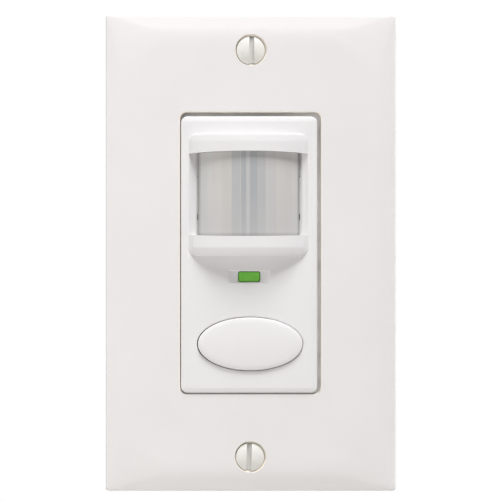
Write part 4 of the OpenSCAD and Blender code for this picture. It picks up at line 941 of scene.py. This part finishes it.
def housing_shell(bm):
    """The housing's sides and its rounded back. Gives the rim's and the back's edges."""
    size = (HOUSING_W, HOUSING_H)
    rings = [rounded_loop(bm, size, HOUSING_CORNER, 0, steps=8)]
    for down, out in quarter(5):
        inset = HOUSING_EDGE * (1 - out)
        z = HOUSING_BACK + HOUSING_EDGE * (1 - down)
        rings.append(rounded_loop(bm, grown(size, -inset), HOUSING_CORNER - inset, z, steps=8))
    inset = HOUSING_EDGE + HOUSING_BAND
    rings.append(rounded_loop(bm, grown(size, -inset), HOUSING_CORNER - inset, HOUSING_BACK, steps=8))
    return skin(bm, rings)


def label_field(bm):
    """The sunken blank field on the back. Gives its edge and its floor's edge."""
    rings = [(0.3, 0), (0, 0), (-0.15, 0.12), (-0.25, LABEL_D), (-0.4, LABEL_D)]
    size = (LABEL_W, LABEL_H)
    return skin(
        bm, [rounded_loop(bm, grown(size, d), LABEL_CORNER + d, HOUSING_BACK + z, steps=5) for d, z in rings]
    )


def rear_housing():
    """Black box behind the strap: rounded back, label field, screw posts and terminal pockets."""
    bm = bmesh.new()
    rim, back = housing_shell(bm)
    room, corner = grown((HOUSING_W, HOUSING_H), -HOUSING_WALL), HOUSING_CORNER - HOUSING_WALL
    inner = [rounded_loop(bm, room, corner, z, steps=4) for z in (0, HOUSING_FLOOR)]
    skin(bm, [rim, *inner])
    label_rim, label_floor = label_field(bm)
    fill(bm, label_floor)
    posts = []
    for x in (-POST_X, POST_X):
        for y in (-POST_Y, POST_Y):
            posts.append(skin(bm, [oval_loop(bm, (2 * r, 2 * r), z, (x, y), steps=32) for r, z in POST_RINGS]))
    fill(bm, back, label_rim, *(head for _, head in posts))
    fill(bm, inner[-1], *(foot for foot, _ in posts))
    terminal_pockets(bm)
    finish_piece("housing_box", bm, "housing", ["rear_housing"], [BLACK_HOUSING], SENSOR_AT)


wall_plate()
screw_pair("plate_screw_pair", "plate_screws", "screw_white", oval_head(), SCREWS, WHITE_SCREW, PLATE_THREAD)
screw_pair("box_screw_pair", "box_screws", "screw_steel", pan_head(), BOX_SCREWS, BOX_THREAD)
rear_housing()
front_cover()
lens()
push_button()
indicator()


# CAD nodes that stay as they are, with their finishes

CAD_FINISHES = {
    moulded("inner_black", (0.03, 0.03, 0.032), 0.5, 3000, 10, 0.2): [
        "lens_retainer", "tact_switch_base", "tact_plunger", "control_chip", "header_block", "relay_base",
        "rectifier",
    ],
    plated("strap_zinc", (0.89, 0.875, 0.85), 0.45, (1, 1, 0.05), 0.7): ["mounting_strap"],
    SCREW_ZINC: ["housing_screws", "chip_leads"],
    painted("ground_green", (0.04, 0.26, 0.1), 0.3): ["ground_screw"],
    coated_board("board_green", (0.03, 0.16, 0.06), (0.06, 0.26, 0.1)): ["sensor_board"],
    coated_board("board_tan", (0.3, 0.19, 0.07), (0.42, 0.26, 0.1)): ["power_board"],
    plated("can_nickel", (0.62, 0.61, 0.58), 0.28): ["pir_can", "tact_switch_cover"],
    moulded("filter_dark", (0.03, 0.03, 0.04), 0.12, 800, 1, 0.2): ["pir_window"],
    moulded("ceramic_cream", (0.7, 0.66, 0.56), 0.6, 4000, 10, 0.05): ["pir_element"],
    plated("pin_gilt", (0.75, 0.58, 0.28), 0.25): ["pir_header", "header_pins"],
    moulded("led_resin", (0.72, 0.76, 0.5), 0.15, 1500, 2, 0.08): ["indicator_led"],
    plated("soft_iron", (0.42, 0.42, 0.43), 0.4): ["relay_yoke", "relay_core", "relay_armature"],
    moulded("bobbin_nylon", (0.68, 0.65, 0.56), 0.5, 3000, 10, 0.05): ["relay_bobbin"],
    wound_copper("coil_copper", (0.72, 0.32, 0.14)): ["relay_winding"],
    plated("contact_bronze", (0.7, 0.45, 0.24), 0.3): ["relay_fixed_contact", "relay_contact_spring"],
    moulded("relay_blue", (0.03, 0.05, 0.13), 0.35, 3000, 10, 0.1): ["relay_cover"],
    moulded("film_yellow", (0.56, 0.38, 0.05), 0.35, 2500, 10, 0.06): ["film_capacitor"],
    moulded("sleeve_navy", (0.03, 0.04, 0.1), 0.3, 1800, 10, 0.15): ["electrolytic_capacitors"],
    moulded("varistor_blue", (0.03, 0.09, 0.3), 0.45, 1500, 30, 0.12): ["varistor"],
    moulded("resistor_coat", (0.26, 0.32, 0.22), 0.6, 2000, 30, 0.1): ["fusible_resistor"],
    plated("terminal_brass", (0.72, 0.53, 0.22), 0.3): [
        "terminal_plates", "terminal_clamps", "terminal_screws",
    ],
}
for cad_finish, cad_nodes in CAD_FINISHES.items():
    for cad_node in cad_nodes:
        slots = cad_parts[cad_node].data.materials
        slots.clear()
        slots.append(cad_finish)


# Floor, light and camera


def seen_directly(tree):
    """1 where the camera, gloss or glass looks, 0 where light is gathered."""
    path = tree.nodes.new("ShaderNodeLightPath")
    total = path.outputs["Is Camera Ray"]
    for name in ("Is Glossy Ray", "Is Transmission Ray"):
        either = tree.nodes.new("ShaderNodeMath")
        either.operation = "MAXIMUM"
        tree.links.new(total, either.inputs[0])
        tree.links.new(path.outputs[name], either.inputs[1])
        total = either.outputs[0]
    return total


def stage_floor():
    """A small pale floor well below the plate, out of the photograph's view. It looks whiter than it is lit."""
    bm = bmesh.new()
    bmesh.ops.create_grid(bm, x_segments=1, y_segments=1, size=FLOOR_HALF_W)
    bmesh.ops.translate(bm, vec=(0, 0, FLOOR_Z), verts=bm.verts)
    finish = Finish("pale_floor", 0.7)
    finish.tint((0.86, 0.852, 0.82), finish.noise(6, 3), 0.01)
    share = finish.maths("ShaderNodeMath", "MULTIPLY", seen_directly(finish.tree), FLOOR_WHITE)["Value"]
    mix = finish.node("ShaderNodeMixShader")
    finish.link(share, mix.inputs["Fac"])
    finish.link(finish.shader.outputs["BSDF"], mix.inputs[1])
    finish.link(finish.node("ShaderNodeEmission").outputs["Emission"], mix.inputs[2])
    finish.link(mix.outputs["Shader"], finish.tree.nodes["Material Output"].inputs["Surface"])
    mesh = made_mesh("floor", bm)
    mesh.materials.append(finish.material)
    floor = add_object("floor", mesh)


def soft_lamp(name, at, size, power, tint):
    """A rectangular lamp that looks at the plate's middle."""
    data = bpy.data.lights.new(name, "AREA")
    data.shape = "RECTANGLE"
    data.size, data.size_y = size
    data.energy = power
    data.color = tint
    lamp = add_object(name, data)
    lamp.location = at
    lamp.rotation_euler = (-Vector(at)).to_track_quat("-Z", "Y").to_euler()


def pale_room():
    """Even light from all round. The camera, gloss and glass see plain white."""
    world = bpy.data.worlds.new("pale_room")
    bpy.context.scene.world = world
    world.use_nodes = True
    tree = world.node_tree
    tree.nodes.clear()
    light, white = tree.nodes.new("ShaderNodeBackground"), tree.nodes.new("ShaderNodeBackground")
    light.inputs["Color"].default_value = ROOM_TINT
    light.inputs["Strength"].default_value = ROOM_LIGHT
    white.inputs["Color"].default_value = (1, 1, 1, 1)
    white.inputs["Strength"].default_value = 1.0
    mix, out = tree.nodes.new("ShaderNodeMixShader"), tree.nodes.new("ShaderNodeOutputWorld")
    tree.links.new(seen_directly(tree), mix.inputs["Fac"])
    tree.links.new(light.outputs[0], mix.inputs[1])
    tree.links.new(white.outputs[0], mix.inputs[2])
    tree.links.new(mix.outputs[0], out.inputs["Surface"])


def photo_camera():
    """Straight on, at the photograph's distance, shifted to its framing."""
    data = bpy.data.cameras.new("photo_camera")
    data.lens = CAMERA_LENS
    data.sensor_width = CAMERA_FILM
    data.clip_start, data.clip_end = 0.01, 10
    x, out, z = CAMERA_AT
    data.shift_x = (LOOK_AT[0] - x) / out * CAMERA_LENS / CAMERA_FILM
    data.shift_y = (LOOK_AT[1] - z) / out * CAMERA_LENS / CAMERA_FILM
    camera = add_object("photo_camera", data)
    camera.location = (x * MM, -out * MM, z * MM)
    camera.rotation_euler = (math.radians(90), 0, 0)
    bpy.context.scene.camera = camera


stage_floor()
pale_room()
for lamp_values in LAMPS:
    soft_lamp(*lamp_values)
photo_camera()
bpy.context.scene.view_settings.view_transform = "Standard"
